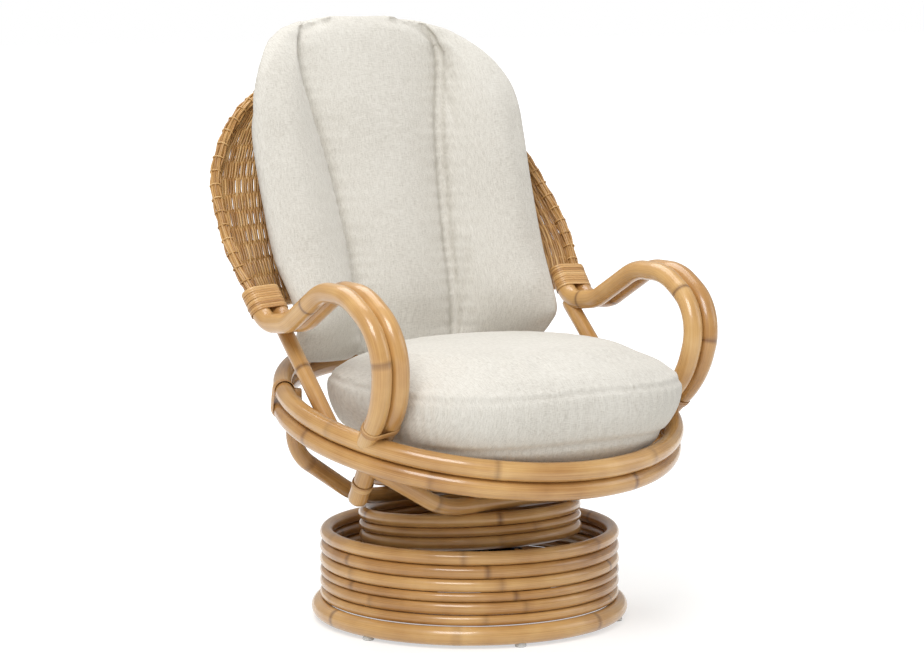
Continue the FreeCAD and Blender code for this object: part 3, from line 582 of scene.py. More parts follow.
def pole(path, radius, ref, rng, closed=False, sides=24):
    """A rattan pole: a tube that swells a little at each joint and has a fine groove there, rounded at cut ends."""
    spacing = bpy.context.scene.rattan_chair.poles.joint_spacing
    steps = np.linalg.norm(np.diff(path, axis=0), axis=1)
    along = np.concatenate([[0.0], np.cumsum(steps)])
    total = along[-1] + (steps[-1] if closed else 0.0)
    marks = np.cumsum(rng.uniform(0.8, 1.2, int(total / spacing) + 2) * spacing) - spacing * rng.uniform(0.2, 0.8)
    marks = marks[(marks > 0.02) & (marks < total - 0.02)]
    gap = along[:, None] - marks[None]
    swell = np.exp(-((gap / 0.009) ** 2)).sum(1)
    line = np.exp(-((gap / 0.0035) ** 2)).sum(1)
    width = radius * (1.0 + 0.03 * swell - 0.02 * line)
    if not closed:
        near = np.minimum(along, total - along)
        width = width * np.where(near < 0.003, 0.93, 1.0)
    points = tube(path, width, sides, ref, closed)
    return surface(points, along, 2 * math.pi * radius, closed, line, rng.uniform(0.25, 0.75))


def stack_heights():
    """Heights of the stacked base poles, each resting on the one below."""
    top = FOOT_RING[2] + FOOT_RING[1]
    heights = []
    for radius in STACK_RADII:
        heights.append(top + radius)
        top += 2 * radius
    return heights


class CHAIR_OT_base_rings(bpy.types.Operator):
    """Foot ring and stacked rings of the base"""

    bl_idname = "chair.base_rings"
    bl_label = "Base rings"

    def execute(self, context):
        rng = np.random.default_rng(11)
        up = np.array([0.0, 0.0, 1.0])
        radius, thick, height = FOOT_RING
        part = pole(ring_path((0, 0, height), radius), thick, up, rng, True)
        piece("rattan_foot_ring", [part], finish("pole"), "base", ["base_foot_ring"])
        for k, (thick, height) in enumerate(zip(STACK_RADII, stack_heights()), 1):
            part = pole(ring_path((0, 0, height), STACK_OUTER - thick), thick, up, rng, True)
            piece("rattan_base_ring_%d" % k, [part], finish("pole"), "base", ["base_ring_%d" % k])
        return {"FINISHED"}


class CHAIR_OT_drum_rings(bpy.types.Operator):
    """Three rings of the drum that carries the seat"""

    bl_idname = "chair.drum_rings"
    bl_label = "Drum rings"

    def execute(self, context):
        rng = np.random.default_rng(12)
        normal = ring_normal(DRUM_LEAN)
        drop = 0.0
        for k, thick in enumerate(DRUM_RADII, 1):
            if k > 1:
                drop += DRUM_RADII[k - 2] + thick
            centre = np.array([0, 0, DRUM_TOP]) - normal * drop
            part = pole(ring_path(centre, DRUM_OUTER - thick, DRUM_LEAN), thick, normal, rng, True)
            piece("rattan_drum_ring_%d" % k, [part], finish("pole"), "seat", ["drum_ring_%d" % k])
        return {"FINISHED"}


class CHAIR_OT_seat_rings(bpy.types.Operator):
    """Two tilted rings of the seat"""

    bl_idname = "chair.seat_rings"
    bl_label = "Seat rings"

    def execute(self, context):
        rng = np.random.default_rng(13)
        for name, centre in (("lower", LOWER_RING), ("upper", UPPER_RING)):
            path = ring_path(centre, RING_RADIUS, RING_PITCH)
            part = pole(path, RING_POLE, ring_normal(RING_PITCH), rng, True)
            piece("rattan_seat_ring_" + name, [part], finish("pole"), "seat", ["seat_ring_" + name])
        return {"FINISHED"}


def drum_top_at(y):
    """Height of the leaning drum's upper edge at depth y."""
    lean = math.radians(-DRUM_LEAN)
    return DRUM_TOP - y * math.tan(lean) + DRUM_RADII[0] / math.cos(lean)


def u_path(points, bends):
    """A path given from the middle outwards, doubled to both sides."""
    right = [np.array(p, float) for p in points]
    return bent_path([mirrored(p) for p in reversed(right)] + right, list(reversed(bends)) + list(bends))


class CHAIR_OT_bearers(bpy.types.Operator):
    """U shaped bearers and the slats across them"""

    bl_idname = "chair.bearers"
    bl_label = "Bearers and slats"

    def execute(self, context):
        rng = np.random.default_rng(14)
        forward = np.array([0.0, 1.0, 0.0])
        low = drum_top_at(FRONT_BEARER_Y) + BEARER_POLE
        end = on_ring(LOWER_RING, FRONT_BEARER_Y)
        path = u_path([(BEARER_FLAT, FRONT_BEARER_Y, low), end], [BEARER_BEND])
        part = pole(path, BEARER_POLE, forward, rng)
        piece("rattan_front_bearer", [part], finish("pole"), "seat", ["front_bearer"])
        rear_low = drum_top_at(REAR_BEARER_Y) + BEARER_POLE
        out = on_ring(LOWER_RING, REAR_BEARER_Y)[0] - REAR_TUCK
        top = on_ring(UPPER_RING, REAR_BEARER_Y)[2]
        y = REAR_BEARER_Y
        shoulder = (out, y, REAR_SHOULDER)
        path = u_path([(BEARER_FLAT, y, rear_low), shoulder, (out, y, top)], [BEARER_BEND, SHOULDER_BEND])
        part = pole(path, BEARER_POLE, forward, rng)
        piece("rattan_rear_bearer", [part], finish("pole"), "seat", ["rear_bearer"])
        slope = (rear_low - low) / (REAR_BEARER_Y - FRONT_BEARER_Y)
        rise = low + BEARER_POLE + SLAT_POLE
        parts = []
        for k in range(-2, 3):
            x, y0, y1 = k * SLAT_PITCH, FRONT_BEARER_Y - SLAT_OVERHANG, REAR_BEARER_Y + SLAT_OVERHANG
            ends = [(x, y0, rise - SLAT_OVERHANG * slope), (x, y1, rise + (y1 - FRONT_BEARER_Y) * slope)]
            parts.append(pole(even_steps(ends, 0.008), SLAT_POLE, np.array([1.0, 0, 0]), rng, sides=16))
        piece("rattan_seat_slats", parts, finish("pole"), "seat", ["seat_slats"])
        return {"FINISHED"}


ARM_FOOT = on_ring(UPPER_RING, -0.1571)
ARM_KNEE = ARM_FOOT + (0.015, -0.070, 0.067)
ARM_CORNER = np.array([RING_RADIUS - 0.001, 0.118, 0.533])
ARM_RISE = unit((8.0, 82.0, 99.0))
ARM_END = ARM_CORNER + ARM_RISE * 0.066
STUB_CORNER = on_ring(LOWER_RING, -0.105) + (-0.058, 0.0, -0.017)
STUB_END = STUB_CORNER + (-0.010, 0.056, -0.077)
INWARD = np.array([-ARM_GAP, 0.0, 0.0])
ARM_BENDS = [0.154, 0.0958, 0.1096, 0.0985, 0.0802, 0.05]
STUB_BENDS = [0.15, 0.12]
PROP_POLE = 0.014
PROP_ENDS = [(0.314, -0.070, 0.340), (0.311, 0.124, 0.529)]


def arm_corners():
    """Corner points shared by both poles of the left arm."""
    r = RING_RADIUS
    return [
        ARM_KNEE,
        np.array([r + 0.002, -0.253, 0.5428]),
        np.array([r + 0.005, -0.152, 0.6048]),
        np.array([r + 0.003, -0.072, 0.6054]),
        np.array([r - 0.001, 0.042, 0.540]),
        ARM_CORNER,
        ARM_END,
    ]


class CHAIR_OT_arms(bpy.types.Operator):
    """Two bent poles for each arm, and the props under them"""

    bl_idname = "chair.arms"
    bl_label = "Arms and props"

    def execute(self, context):
        rng = np.random.default_rng(15)
        sideways = np.array([1.0, 0.0, 0.0])
        outer = bent_path([ARM_FOOT] + arm_corners(), ARM_BENDS, 0.005)
        inner_corners = [STUB_END, STUB_CORNER] + [c + INWARD for c in arm_corners()]
        inner = bent_path(inner_corners, STUB_BENDS + ARM_BENDS[1:], 0.005)
        prop = even_steps(PROP_ENDS, 0.006)
        poles = (("arm_outer", outer, ARM_POLE), ("arm_inner", inner, ARM_POLE), ("prop", prop, PROP_POLE))
        for side, flip in (("left", 1), ("right", -1)):
            for kind, path, radius in poles:
                name = "%s_%s" % (kind, side)
                part = pole(path * (flip, 1, 1), radius, sideways, rng)
                piece("rattan_" + name, [part], finish("pole"), "seat", [name])
        return {"FINISHED"}


# ---------------------------------------------------------------- woven back

# Height, half width and rim depth of the shell, in metres
SHELL_SECTIONS = np.array([
    (0.562, 0.350, 0.148),
    (0.625, 0.359, 0.190),
    (0.700, 0.353, 0.248),
    (0.775, 0.334, 0.298),
    (0.845, 0.296, 0.327),
    (0.900, 0.240, 0.347),
    (0.940, 0.170, 0.362),
    (0.957, 0.128, 0.371),
])


def shell_deep(z):
    return SHELL_DEEP + (z - SHELL_BOTTOM) * math.tan(math.radians(SHELL_LEAN))


def shell_rim(z):
    """Half width and depth of the shell's edge at height z, on smooth curves through its sections."""
    rows = hermite_rows(SHELL_SECTIONS, 200)
    return np.interp(z, rows[:, 0], rows[:, 1]), np.interp(z, rows[:, 0], rows[:, 2])


def shell_points(u, z):
    """Point at share u of the half width and height z, on the level arc through both rim points and the deepest one."""
    half, rim = shell_rim(z)
    sag = shell_deep(z) - rim
    radius = (half**2 + sag**2) / (2 * sag)
    x = u * half
    y = shell_deep(z) - radius + np.sqrt(radius**2 - x**2)
    return np.stack([x, y, np.broadcast_to(z, x.shape)], -1)


def shell_normals(u, z):
    """Direction out of the tub's back at the same places, by differences of 1 mm."""
    du = shell_points(u + 0.001, z) - shell_points(u - 0.001, z)
    dz = shell_points(u, z + 0.001) - shell_points(u, z - 0.001)
    return unit(np.cross(dz, du))


class CHAIR_OT_woven_back(bpy.types.Operator):
    """Woven shell of the back: upright strands over and under level stakes"""

    bl_idname = "chair.woven_back"
    bl_label = "Woven back"

    def execute(self, context):
        weave = context.scene.rattan_chair.weave
        rng = np.random.default_rng(21)
        half, rim = SHELL_SECTIONS[0, 1:]
        sag = SHELL_DEEP - rim
        radius = (half**2 + sag**2) / (2 * sag)
        width = 2 * radius * math.asin(half / radius)
        count = int(width / weave.strand_pitch)
        z = np.linspace(SHELL_BOTTOM - 0.004, SHELL_TOP, int((SHELL_TOP - SHELL_BOTTOM) / 0.0065))
        u = np.sin(np.linspace(-1, 1, count) * math.asin(half / radius)) / (half / radius)
        grid_u = np.broadcast_to(u[:, None], (count, len(z)))
        grid_z = np.broadcast_to(z[None], (count, len(z)))
        phase = (grid_z - SHELL_BOTTOM) / weave.row_pitch * math.pi + math.pi * np.arange(count)[:, None]
        lift = 0.0016 * np.tanh(2.4 * np.cos(phase)) / math.tanh(2.4)
        normal = shell_normals(grid_u, grid_z)
        path = shell_points(grid_u, grid_z) + normal * (lift + 0.003)[..., None]
        path[..., 0] += rng.uniform(-0.0005, 0.0005, (count, 1)) + 0.0006 * np.sin(phase * 0.5)
        points = tube(path, weave.strand_radius, 6, normal)
        strands = surface(points, z - z[0], 2 * math.pi * weave.strand_radius, tone=rng.uniform(0.1, 0.9, count))
        piece("cane_upright_strands", [strands], finish("weave"), "seat", ["back_shell"])
        rows = SHELL_BOTTOM + weave.row_pitch * (np.arange(int((SHELL_TOP - SHELL_BOTTOM) / weave.row_pitch)) + 0.5)
        across = np.linspace(-1, 1, 90)
        row_u = np.broadcast_to(across[None], (len(rows), len(across)))
        row_z = np.broadcast_to(rows[:, None], row_u.shape)
        normal = shell_normals(row_u, row_z)
        path = shell_points(row_u, row_z) + normal * 0.003
        parts = []
        for shift in (-0.0014, 0.0014):
            line = path + np.array([0, 0, shift])
            points = tube(line, 0.0013, 6, np.array([0.0, 0.0, 1.0]))
            parts.append(surface(points, across - across[0], 0.008, tone=rng.uniform(0.3, 0.9, len(rows))))
        piece("cane_level_stakes", parts, finish("weave"), "seat")
        return {"FINISHED"}


# Rim of the back: radius of its pole, of the circle that its strands lie on and of the stakes' turns over it
RIM_CORE, RIM_LAY, RIM_WRAP = 0.0065, 0.0076, 0.0100
RIM_STRANDS = 7
RIM_TWIST = 0.9
RIM_WAVE = 0.0012
RIM_SIDE = [(0.366, 0.205, 0.650), (0.346, 0.296, 0.775), (0.287, 0.332, 0.872), (0.141, 0.3863, 0.957)]


def rim_path(step=0.004):
    right = [ARM_END] + [np.array(p) for p in RIM_SIDE]
    bends = [0.32, 0.20, 0.23, 0.30]
    return bent_path(right + [mirrored(p) for p in reversed(right)], bends + bends[::-1], step)


class CHAIR_OT_back_frame(bpy.types.Operator):
    """Rim pole with its wrapping, lower rail and stiles of the back"""

    bl_idname = "chair.back_frame"
    bl_label = "Back frame"

    def execute(self, context):
        rng = np.random.default_rng(22)
        path = rim_path()
        ref = np.array([0.0, 1.0, -0.5])
        core = pole(path, RIM_CORE, ref, rng, sides=16)
        row_pitch = context.scene.rattan_chair.weave.row_pitch
        along = np.concatenate([[0.0], np.cumsum(np.linalg.norm(np.diff(path, axis=0), axis=1))])
        tangent = unit(np.gradient(path, axis=0))
        side = unit(np.cross(tangent, ref))
        up = np.cross(side, tangent)
        parts = [core]
        # seven cane strands laid along the pole, each on a slow turn round it
        for k in range(RIM_STRANDS):
            turn = 2 * math.pi * (k / RIM_STRANDS + along / RIM_TWIST)
            wave = RIM_WAVE * np.sin(math.pi * along / row_pitch + math.pi * k)
            line = path + (RIM_LAY + wave)[:, None] * (np.cos(turn)[:, None] * side + np.sin(turn)[:, None] * up)
            parts.append(surface(tube(line, 0.0022, 6, ref), along, 0.014, tone=rng.uniform(0.2, 0.9)))
        # stakes turned over the rim at the row pitch
        places = np.arange(0.02, along[-1] - 0.02, row_pitch)
        a = np.linspace(0, 2 * math.pi, 20, endpoint=False)
        centre = np.stack([np.interp(places, along, path[:, k]) for k in range(3)], 1)
        s = np.stack([np.interp(places, along, side[:, k]) for k in range(3)], 1)
        v = np.stack([np.interp(places, along, up[:, k]) for k in range(3)], 1)
        t = np.stack([np.interp(places, along, tangent[:, k]) for k in range(3)], 1)
        round_it = np.cos(a)[None, :, None] * s[:, None] + np.sin(a)[None, :, None] * v[:, None]
        loop = centre[:, None] + RIM_WRAP * round_it
        points = tube(loop, 0.0012, 6, t[:, None], True)
        parts.append(surface(points, a * RIM_WRAP, 0.009, True, tone=rng.uniform(0.4, 0.95, len(places))))
        piece("cane_wrapped_rim", parts, finish("weave"), "seat", ["back_hoop"])
        half, rim = SHELL_SECTIONS[0, 1:]
        sag = SHELL_DEEP - rim
        inside = (half**2 + sag**2) / (2 * sag)
        radius = inside + 0.009
        sweep = math.asin(0.345 / radius)
        a = np.linspace(-sweep, sweep, 120)
        line = np.stack([radius * np.sin(a), SHELL_DEEP - inside + radius * np.cos(a), 0 * a + SHELL_BOTTOM - 0.009], 1)
        part = pole(even_steps(line, 0.006), 0.009, np.array([0, 0, 1.0]), rng, sides=16)
        piece("rattan_back_rail", [part], finish("pole"), "seat", ["back_rail"])
        for name, flip in (("left", 1), ("right", -1)):
            low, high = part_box("back_stile_" + name)
            x = 0.5 * (low.x + high.x)
            rise = math.sqrt(RING_RADIUS**2 - x**2)
            p = math.radians(RING_PITCH)
            foot = (x, UPPER_RING[1] + rise * math.cos(p), UPPER_RING[2] + rise * math.sin(p))
            u = abs(x) / 0.35
            knee = shell_points(np.array([u]), np.array([SHELL_BOTTOM]))[0] * (flip, 1, 1) + (0, 0.019, 0)
            top_u = abs(x) / shell_rim(0.8)[0]
            top = shell_points(np.array([top_u]), np.array([0.8]))[0] * (flip, 1, 1) + (0, 0.019, 0)
            part = pole(bent_path([foot, knee, top], [0.2]), 0.013, np.array([1.0, 0, 0]), rng)
            piece("rattan_back_stile_" + name, [part], finish("pole"), "seat", ["back_stile_" + name])
        return {"FINISHED"}


# ---------------------------------------------------------------- bindings


def wound(first, second, run, pole_radius, length, rng, thickness=0.0014):
    """Turns of flat cane peel round two poles: level loops made of two half circles and the runs between them."""
    width = bpy.context.scene.rattan_chair.weave.strip_width
    first, second, run = np.asarray(first, float), np.asarray(second, float), unit(run)
    second = second - run * ((second - first) @ run)
    span = np.linalg.norm(second - first)
    across = unit(second - first) if span > 1e-6 else unit(np.cross(run, (0.0, 0.0, 1.0)))
    up = np.cross(run, across)
    half = np.linspace(-math.pi / 2, math.pi / 2, 15)
    hubs = np.concatenate([np.repeat(second[None], 15, 0), np.repeat(first[None], 15, 0)])
    angle = np.concatenate([half, half + math.pi])
    out = np.cos(angle)[:, None] * across + np.sin(angle)[:, None] * up
    turns = max(1, int(round(length / width)))
    reach = pole_radius + thickness / 2 + rng.uniform(0.0, 0.0006, turns)
    shift = ((np.arange(turns) + 0.5) / turns - 0.5) * length
    tilt = rng.uniform(-0.0007, 0.0007, turns)
    lean = np.cos(angle)[None, :, None] * (tilt[:, None, None] * run)
    loop = hubs[None] + out[None] * reach[:, None, None] + shift[:, None, None] * run + lean
    loop = np.concatenate([even_loop(line, 72)[None] for line in loop])
    out = unit(loop - closest_on_segment(loop, first, second, run))
    b = 2 * math.pi * np.arange(8) / 8
    flat = (width * 0.52) * np.cos(b)[:, None] * run + (thickness / 2) * np.sin(b)[:, None] * out[..., None, :]
    points = loop[..., None, :] + flat
    along = np.arange(72) * (2 * span + 2 * math.pi * pole_radius) / 72
    return surface(points, along, width * 2, True, tone=rng.uniform(0.1, 0.95, turns))


def even_loop(line, count):
    """A closed line at count equal steps."""
    line = np.vstack([line, line[:1]])
    run = np.concatenate([[0.0], np.cumsum(np.linalg.norm(np.diff(line, axis=0), axis=1))])
    at = np.linspace(0.0, run[-1], count, endpoint=False)
    return np.stack([np.interp(at, run, line[:, k]) for k in range(3)], axis=1)


def closest_on_segment(points, first, second, run):
    """Nearest points of the two poles' common plane, at each point's own place along the run."""
    line = second - first
    length = max(float(line @ line), 1e-12)
    flat = points - run * ((points - first) @ run)[..., None]
    share = np.clip(((flat - first) @ line) / length, 0, 1)
    return points - flat + first + share[..., None] * line


class CHAIR_OT_bindings(bpy.types.Operator):
    """Cane peel wound round the joints of the frame"""

    bl_idname = "chair.bindings"
    bl_label = "Cane bindings"

    def execute(self, context):
        rng = np.random.default_rng(31)
        centre = ARM_END - ARM_RISE * 0.023
        low, high = on_ring(LOWER_RING, REAR_BEARER_Y), on_ring(UPPER_RING, REAR_BEARER_Y)
        knee_run = unit(ARM_KNEE - ARM_FOOT)
        outer_point = ARM_FOOT + knee_run * 0.0405
        inner_run = unit(ARM_KNEE + INWARD - STUB_CORNER)
        inner_point = STUB_CORNER + inner_run * ((outer_point - STUB_CORNER) @ inner_run)
        stub_run = unit(STUB_CORNER - STUB_END)
        stub = STUB_END + stub_run * 0.038
        tangent = np.array([LOWER_RING[1] - REAR_BEARER_Y, low[0], 0.0])
        jobs = {
            "corner_binding": (centre, centre + INWARD, ARM_RISE, ARM_POLE, 0.046),
            "ring_binding": (low, high, tangent, RING_POLE, 0.026),
            "foot_binding": (outer_point, inner_point, knee_run, ARM_POLE, 0.012),
            "stub_binding": (stub, stub, stub_run, ARM_POLE, 0.012),
        }
        for name, (first, second, run, radius, length) in jobs.items():
            for side, flip in (("left", 1), ("right", -1)):
                turn = np.array([flip, 1.0, 1.0])
                node = "%s_%s" % (name, side)
                part = wound(first * turn, second * turn, run * turn, radius, length, rng)
                piece("peel_" + node, [part], finish("peel"), "seat", [node])
        return {"FINISHED"}


# ---------------------------------------------------------------- cushions


def closed_form(name, points, material):
    """A mesh object from a grid of closed level outlines, capped at its foot and top."""
    n, m = points.shape[:2]
    i, j = np.meshgrid(np.arange(n - 1), np.arange(m), indexing="ij")
    index = np.stack([i * m + j, i * m + (j + 1) % m, (i + 1) * m + (j + 1) % m, (i + 1) * m + j], -1).reshape(-1, 4)
    faces = index.tolist() + [list(range(m))[::-1], list(range((n - 1) * m, n * m))]
    mesh = bpy.data.meshes.new(name)
    mesh.from_pydata(points.reshape(-1, 3).tolist(), [], faces)
    mesh.update()
    mesh.materials.append(material)
    obj = bpy.data.objects.new(name, mesh)
    bpy.context.scene.collection.objects.link(obj)
    return obj


def vertex_array(mesh):
    out = np.empty(len(mesh.vertices) * 3, np.float32)
    mesh.vertices.foreach_get("co", out)
    return out.reshape(-1, 3).astype(float)


def normal_array(mesh):
    out = np.empty(len(mesh.vertices) * 3, np.float32)
    mesh.vertices.foreach_get("normal", out)
    return out.reshape(-1, 3).astype(float)


def set_vertices(mesh, values):
    mesh.vertices.foreach_set("co", values.astype(np.float32).reshape(-1))
    mesh.update()


def apply_modifiers(obj):
    """Bakes the object's modifiers into its mesh."""
    graph = bpy.context.evaluated_depsgraph_get()
    mesh = bpy.data.meshes.new_from_object(obj.evaluated_get(graph))
    materials = list(obj.data.materials)
    obj.modifiers.clear()
    obj.data = mesh
    mesh.materials.clear()
    for material in materials:
        mesh.materials.append(material)


def fill_with_cloth(obj, held, cap, pressure=4.0):
    """Voxel remesh, then cloth blown up from inside: held(points) pins the seams and cap limits the swell."""
    remesh = obj.modifiers.new("skin", "REMESH")
    remesh.mode = "VOXEL"
    remesh.voxel_size = bpy.context.scene.rattan_chair.cushions.voxel
    apply_modifiers(obj)
    start = vertex_array(obj.data)
    group = obj.vertex_groups.new(name="held")
    weights = held(start)
    levels = np.round(weights * 20) / 20
    for level in np.unique(levels[levels > 0]):
        group.add(np.nonzero(levels == level)[0].tolist(), float(level), "REPLACE")
    cloth = obj.modifiers.new("cloth", "CLOTH")
    cloth.settings.use_pressure = True
    cloth.settings.uniform_pressure_force = pressure
    cloth.settings.effector_weights.gravity = 0.0
    cloth.settings.vertex_group_mass = "held"
    cloth.settings.tension_stiffness = 12.0
    cloth.settings.compression_stiffness = 12.0
    cloth.settings.bending_stiffness = 0.6
    cloth.settings.quality = 4
    cloth.point_cache.frame_start, cloth.point_cache.frame_end = 1, 20
    for number in range(1, 21):
        bpy.context.scene.frame_set(number)
    apply_modifiers(obj)
    obj.vertex_groups.clear()
    bpy.context.scene.frame_set(1)
    moved = vertex_array(obj.data) - start
    size = np.linalg.norm(moved, axis=1, keepdims=True)
    set_vertices(obj.data, start + moved * np.minimum(1.0, cap / np.maximum(size, 1e-9)))
    return obj


def soften(obj, rounds=2):
    """Evens the mesh: each point moves half way to the mean of its neighbours."""
    mesh = obj.data
    edges = np.empty(len(mesh.edges) * 2, np.int32)
    mesh.edges.foreach_get("vertices", edges)
    edges = edges.reshape(-1, 2)
    points = vertex_array(mesh)
    count = np.zeros(len(points))
    np.add.at(count, edges[:, 0], 1)
    np.add.at(count, edges[:, 1], 1)
    for _ in range(rounds):
        total = np.zeros_like(points)
        np.add.at(total, edges[:, 0], points[edges[:, 1]])
        np.add.at(total, edges[:, 1], points[edges[:, 0]])
        points = 0.5 * points + 0.5 * total / count[:, None]
    set_vertices(mesh, points)


def sew(obj, distance, depth, width, along, pucker, wavelength, rng):
    """Draws the cloth in along a seam by depth times a bell of the distance, with gathers of a wavelength beside it."""
    points, normals = vertex_array(obj.data), normal_array(obj.data)
    bell = np.exp(-((distance / width) ** 2))
    wander = sum(np.sin(along * f + rng.uniform(0, 6.28)) * a for f, a in ((23.0, 1.6), (57.0, 0.9), (131.0, 0.5)))
    gather = pucker * np.sin(2 * math.pi * along / wavelength + wander) * np.exp(-distance / 0.028) * (1 - bell)
    set_vertices(obj.data, points - normals * (depth * bell + gather)[:, None])


def finish_cushion(obj, solid):
    """One level of subdivision and smooth shading, then the cushion rides the seat and hides its solid."""
    mod = obj.modifiers.new("subdivision", "SUBSURF")
    mod.levels = mod.render_levels = 1
    obj.data.polygons.foreach_set("use_smooth", np.ones(len(obj.data.polygons), bool))
    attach(obj, "seat")
    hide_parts(solid)


# Height, half width, half depth and squareness of the seat cushion's levels
SEAT_LEVELS = np.array([
    (0.2650, 0.150, 0.140, 2.0),
    (0.2700, 0.200, 0.185, 2.0),
    (0.2830, 0.226, 0.208, 2.1),
    (0.3160, 0.254, 0.238, 2.2),
    (0.3480, 0.268, 0.257, 2.4),
    (0.3840, 0.280, 0.270, 2.7),
    (0.4150, 0.287, 0.274, 2.8),
    (0.4400, 0.287, 0.271, 2.8),
    (0.4600, 0.279, 0.261, 2.7),
    (0.4770, 0.257, 0.239, 2.6),
    (0.4880, 0.216, 0.200, 2.5),
    (0.4950, 0.150, 0.138, 2.3),
    (0.4985, 0.060, 0.055, 2.0),
])
SEAT_CENTRE_Y = -0.104
SEAT_SEAMS = (0.352, 0.440)


def seat_form(inset):
    """Level outlines of the seat cushion: superellipses x = a|cos t|^(2/n), y = b|sin t|^(2/n), with their signs."""
    rows = hermite_rows(SEAT_LEVELS, 60)
    t = 2 * math.pi * np.arange(160)[None] / 160
    z, a, b, n = (rows[:, k : k + 1] for k in range(4))
    c, s = np.cos(t), np.sin(t)
    x = (a - inset) * np.sign(c) * np.abs(c) ** (2 / n)
    y = (b - inset) * np.sign(s) * np.abs(s) ** (2 / n)
    middle = 0.5 * (SEAT_LEVELS[0, 0] + SEAT_LEVELS[-1, 0])
    z = z + np.clip((middle - z) * 20 * inset, -inset, inset)
    return np.stack([x, y + SEAT_CENTRE_Y, np.broadcast_to(z, x.shape)], -1)


class CHAIR_OT_seat_cushion(bpy.types.Operator):
    """Boxed seat cushion with an upper and a lower seam"""

    bl_idname = "chair.seat_cushion"
    bl_label = "Seat cushion"

    def execute(self, context):
        rng = np.random.default_rng(41)
        obj = closed_form("linen_seat_cushion", seat_form(0.003), finish("linen"))

        def held(points):
            near = np.min([np.abs(points[:, 2] - z) for z in SEAT_SEAMS], axis=0)
            out = np.hypot(points[:, 0], points[:, 1] - SEAT_CENTRE_Y) > 0.2
            seam = np.where(out, np.exp(-((near / 0.004) ** 2)), 0.0) * (near < 0.007)
            return seam + (points[:, 2] < 0.2675) * 1.0

        fill_with_cloth(obj, held, 0.007)
        soften(obj, 2)
        for z in SEAT_SEAMS:
            points, normals = vertex_array(obj.data), normal_array(obj.data)
            angle = np.arctan2(points[:, 1] - SEAT_CENTRE_Y, points[:, 0])
            side = smoothstep((1.0 - np.abs(normals[:, 2])) / 0.3)
            away = np.abs(points[:, 2] - z - 0.003 * np.sin(3 * angle)) + (1 - side) * 0.05
            sew(obj, away, 0.0045, 0.0055, angle * 0.28, 0.0013, 0.022, rng)
        points = vertex_array(obj.data)
        points[:, 2] = np.maximum(points[:, 2], SEAT_LEVELS[0, 0])
        set_vertices(obj.data, points)
        finish_cushion(obj, "seat_cushion")
        return {"FINISHED"}


# Height, seam half spacing, seam depth, half width, side depth, panel swell and back depth of the back cushion
BACK_LEVELS = np.array([
    (0.447, 0.097, 0.192, 0.246, 0.164, 0.004, 0.256),
    (0.460, 0.101, 0.189, 0.268, 0.148, 0.007, 0.270),
    (0.485, 0.104, 0.188, 0.282, 0.132, 0.010, 0.280),
    (0.515, 0.106, 0.190, 0.286, 0.116, 0.018, 0.286),
    (0.562, 0.107, 0.197, 0.289, 0.132, 0.026, 0.291),
    (0.640, 0.109, 0.218, 0.298, 0.178, 0.028, 0.309),
    (0.740, 0.118, 0.248, 0.301, 0.214, 0.028, 0.332),
    (0.840, 0.131, 0.278, 0.301, 0.240, 0.028, 0.355),
    (0.900, 0.143, 0.296, 0.294, 0.250, 0.027, 0.367),
    (0.945, 0.156, 0.311, 0.279, 0.264, 0.025, 0.367),
    (0.990, 0.162, 0.324, 0.249, 0.292, 0.021, 0.384),
    (1.025, 0.148, 0.333, 0.206, 0.328, 0.015, 0.390),
    (1.046, 0.118, 0.342, 0.150, 0.350, 0.009, 0.385),
    (1.058, 0.060, 0.352, 0.078, 0.360, 0.004, 0.372),
])


# How far the stitches pull the seams of the back into the filling
SEAM_SINK = 0.010


def back_form(inset):
    """Level outlines of the back cushion: chords with parabolic swells for the three panels, the sides and the back."""
    rows = hermite_rows(BACK_LEVELS, 130)
    z, seam_x, seam_y, half, side_y, swell, back_y = (rows[:, k : k + 1] for k in range(7))
    half, seam_y = half - inset, seam_y + SEAM_SINK * np.clip((z - 0.44) / 0.06, 0, 1)
    t = np.linspace(0, 1, 17)[None, :-1]
    bow = 4 * t * (1 - t)
    front_x, front_y = half - 0.012, side_y - 0.018 + inset
    rear_x, rear_y = half - 0.012, side_y + 0.020 - inset
    parts = []
    centre = np.linspace(0, 1, 13)[None, :-1]
    parts.append((centre * seam_x, seam_y + inset - swell * (1 - centre**2)))
    chord_x, chord_y = front_x - seam_x, front_y - seam_y - inset
    size = np.hypot(chord_x, chord_y)
    x = seam_x + t * chord_x + bow * swell * chord_y / size
    y = seam_y + inset + t * chord_y - bow * swell * chord_x / size
    parts.append((x, y))
    t2 = np.linspace(0, 1, 9)[None, :-1]
    parts.append((front_x + 4 * t2 * (1 - t2) * 0.012, front_y + t2 * (rear_y - front_y)))
    t3 = np.linspace(0, 1, 21)[None]
    x = rear_x * (1 - t3)
    parts.append((x, rear_y + (back_y - inset - rear_y) * (1 - (1 - t3) ** 2)))
    left_x = np.concatenate([p[0] for p in parts], 1)
    left_y = np.concatenate([np.broadcast_to(p[1], p[0].shape) for p in parts], 1)
    x = np.concatenate([left_x, -left_x[:, -2:0:-1]], 1)
    y = np.concatenate([left_y, left_y[:, -2:0:-1]], 1)
    return np.stack([x, y, np.broadcast_to(z, x.shape)], -1)


def channel_distance(points):
    """Distance from the two seams between the panels, which run up the front."""
    rows = hermite_rows(BACK_LEVELS, 130)
    seam_x = np.interp(points[:, 2], rows[:, 0], rows[:, 1])
    seam_y = np.interp(points[:, 2], rows[:, 0], rows[:, 2] + SEAM_SINK)
    return np.hypot(np.abs(points[:, 0]) - seam_x, points[:, 1] - seam_y)


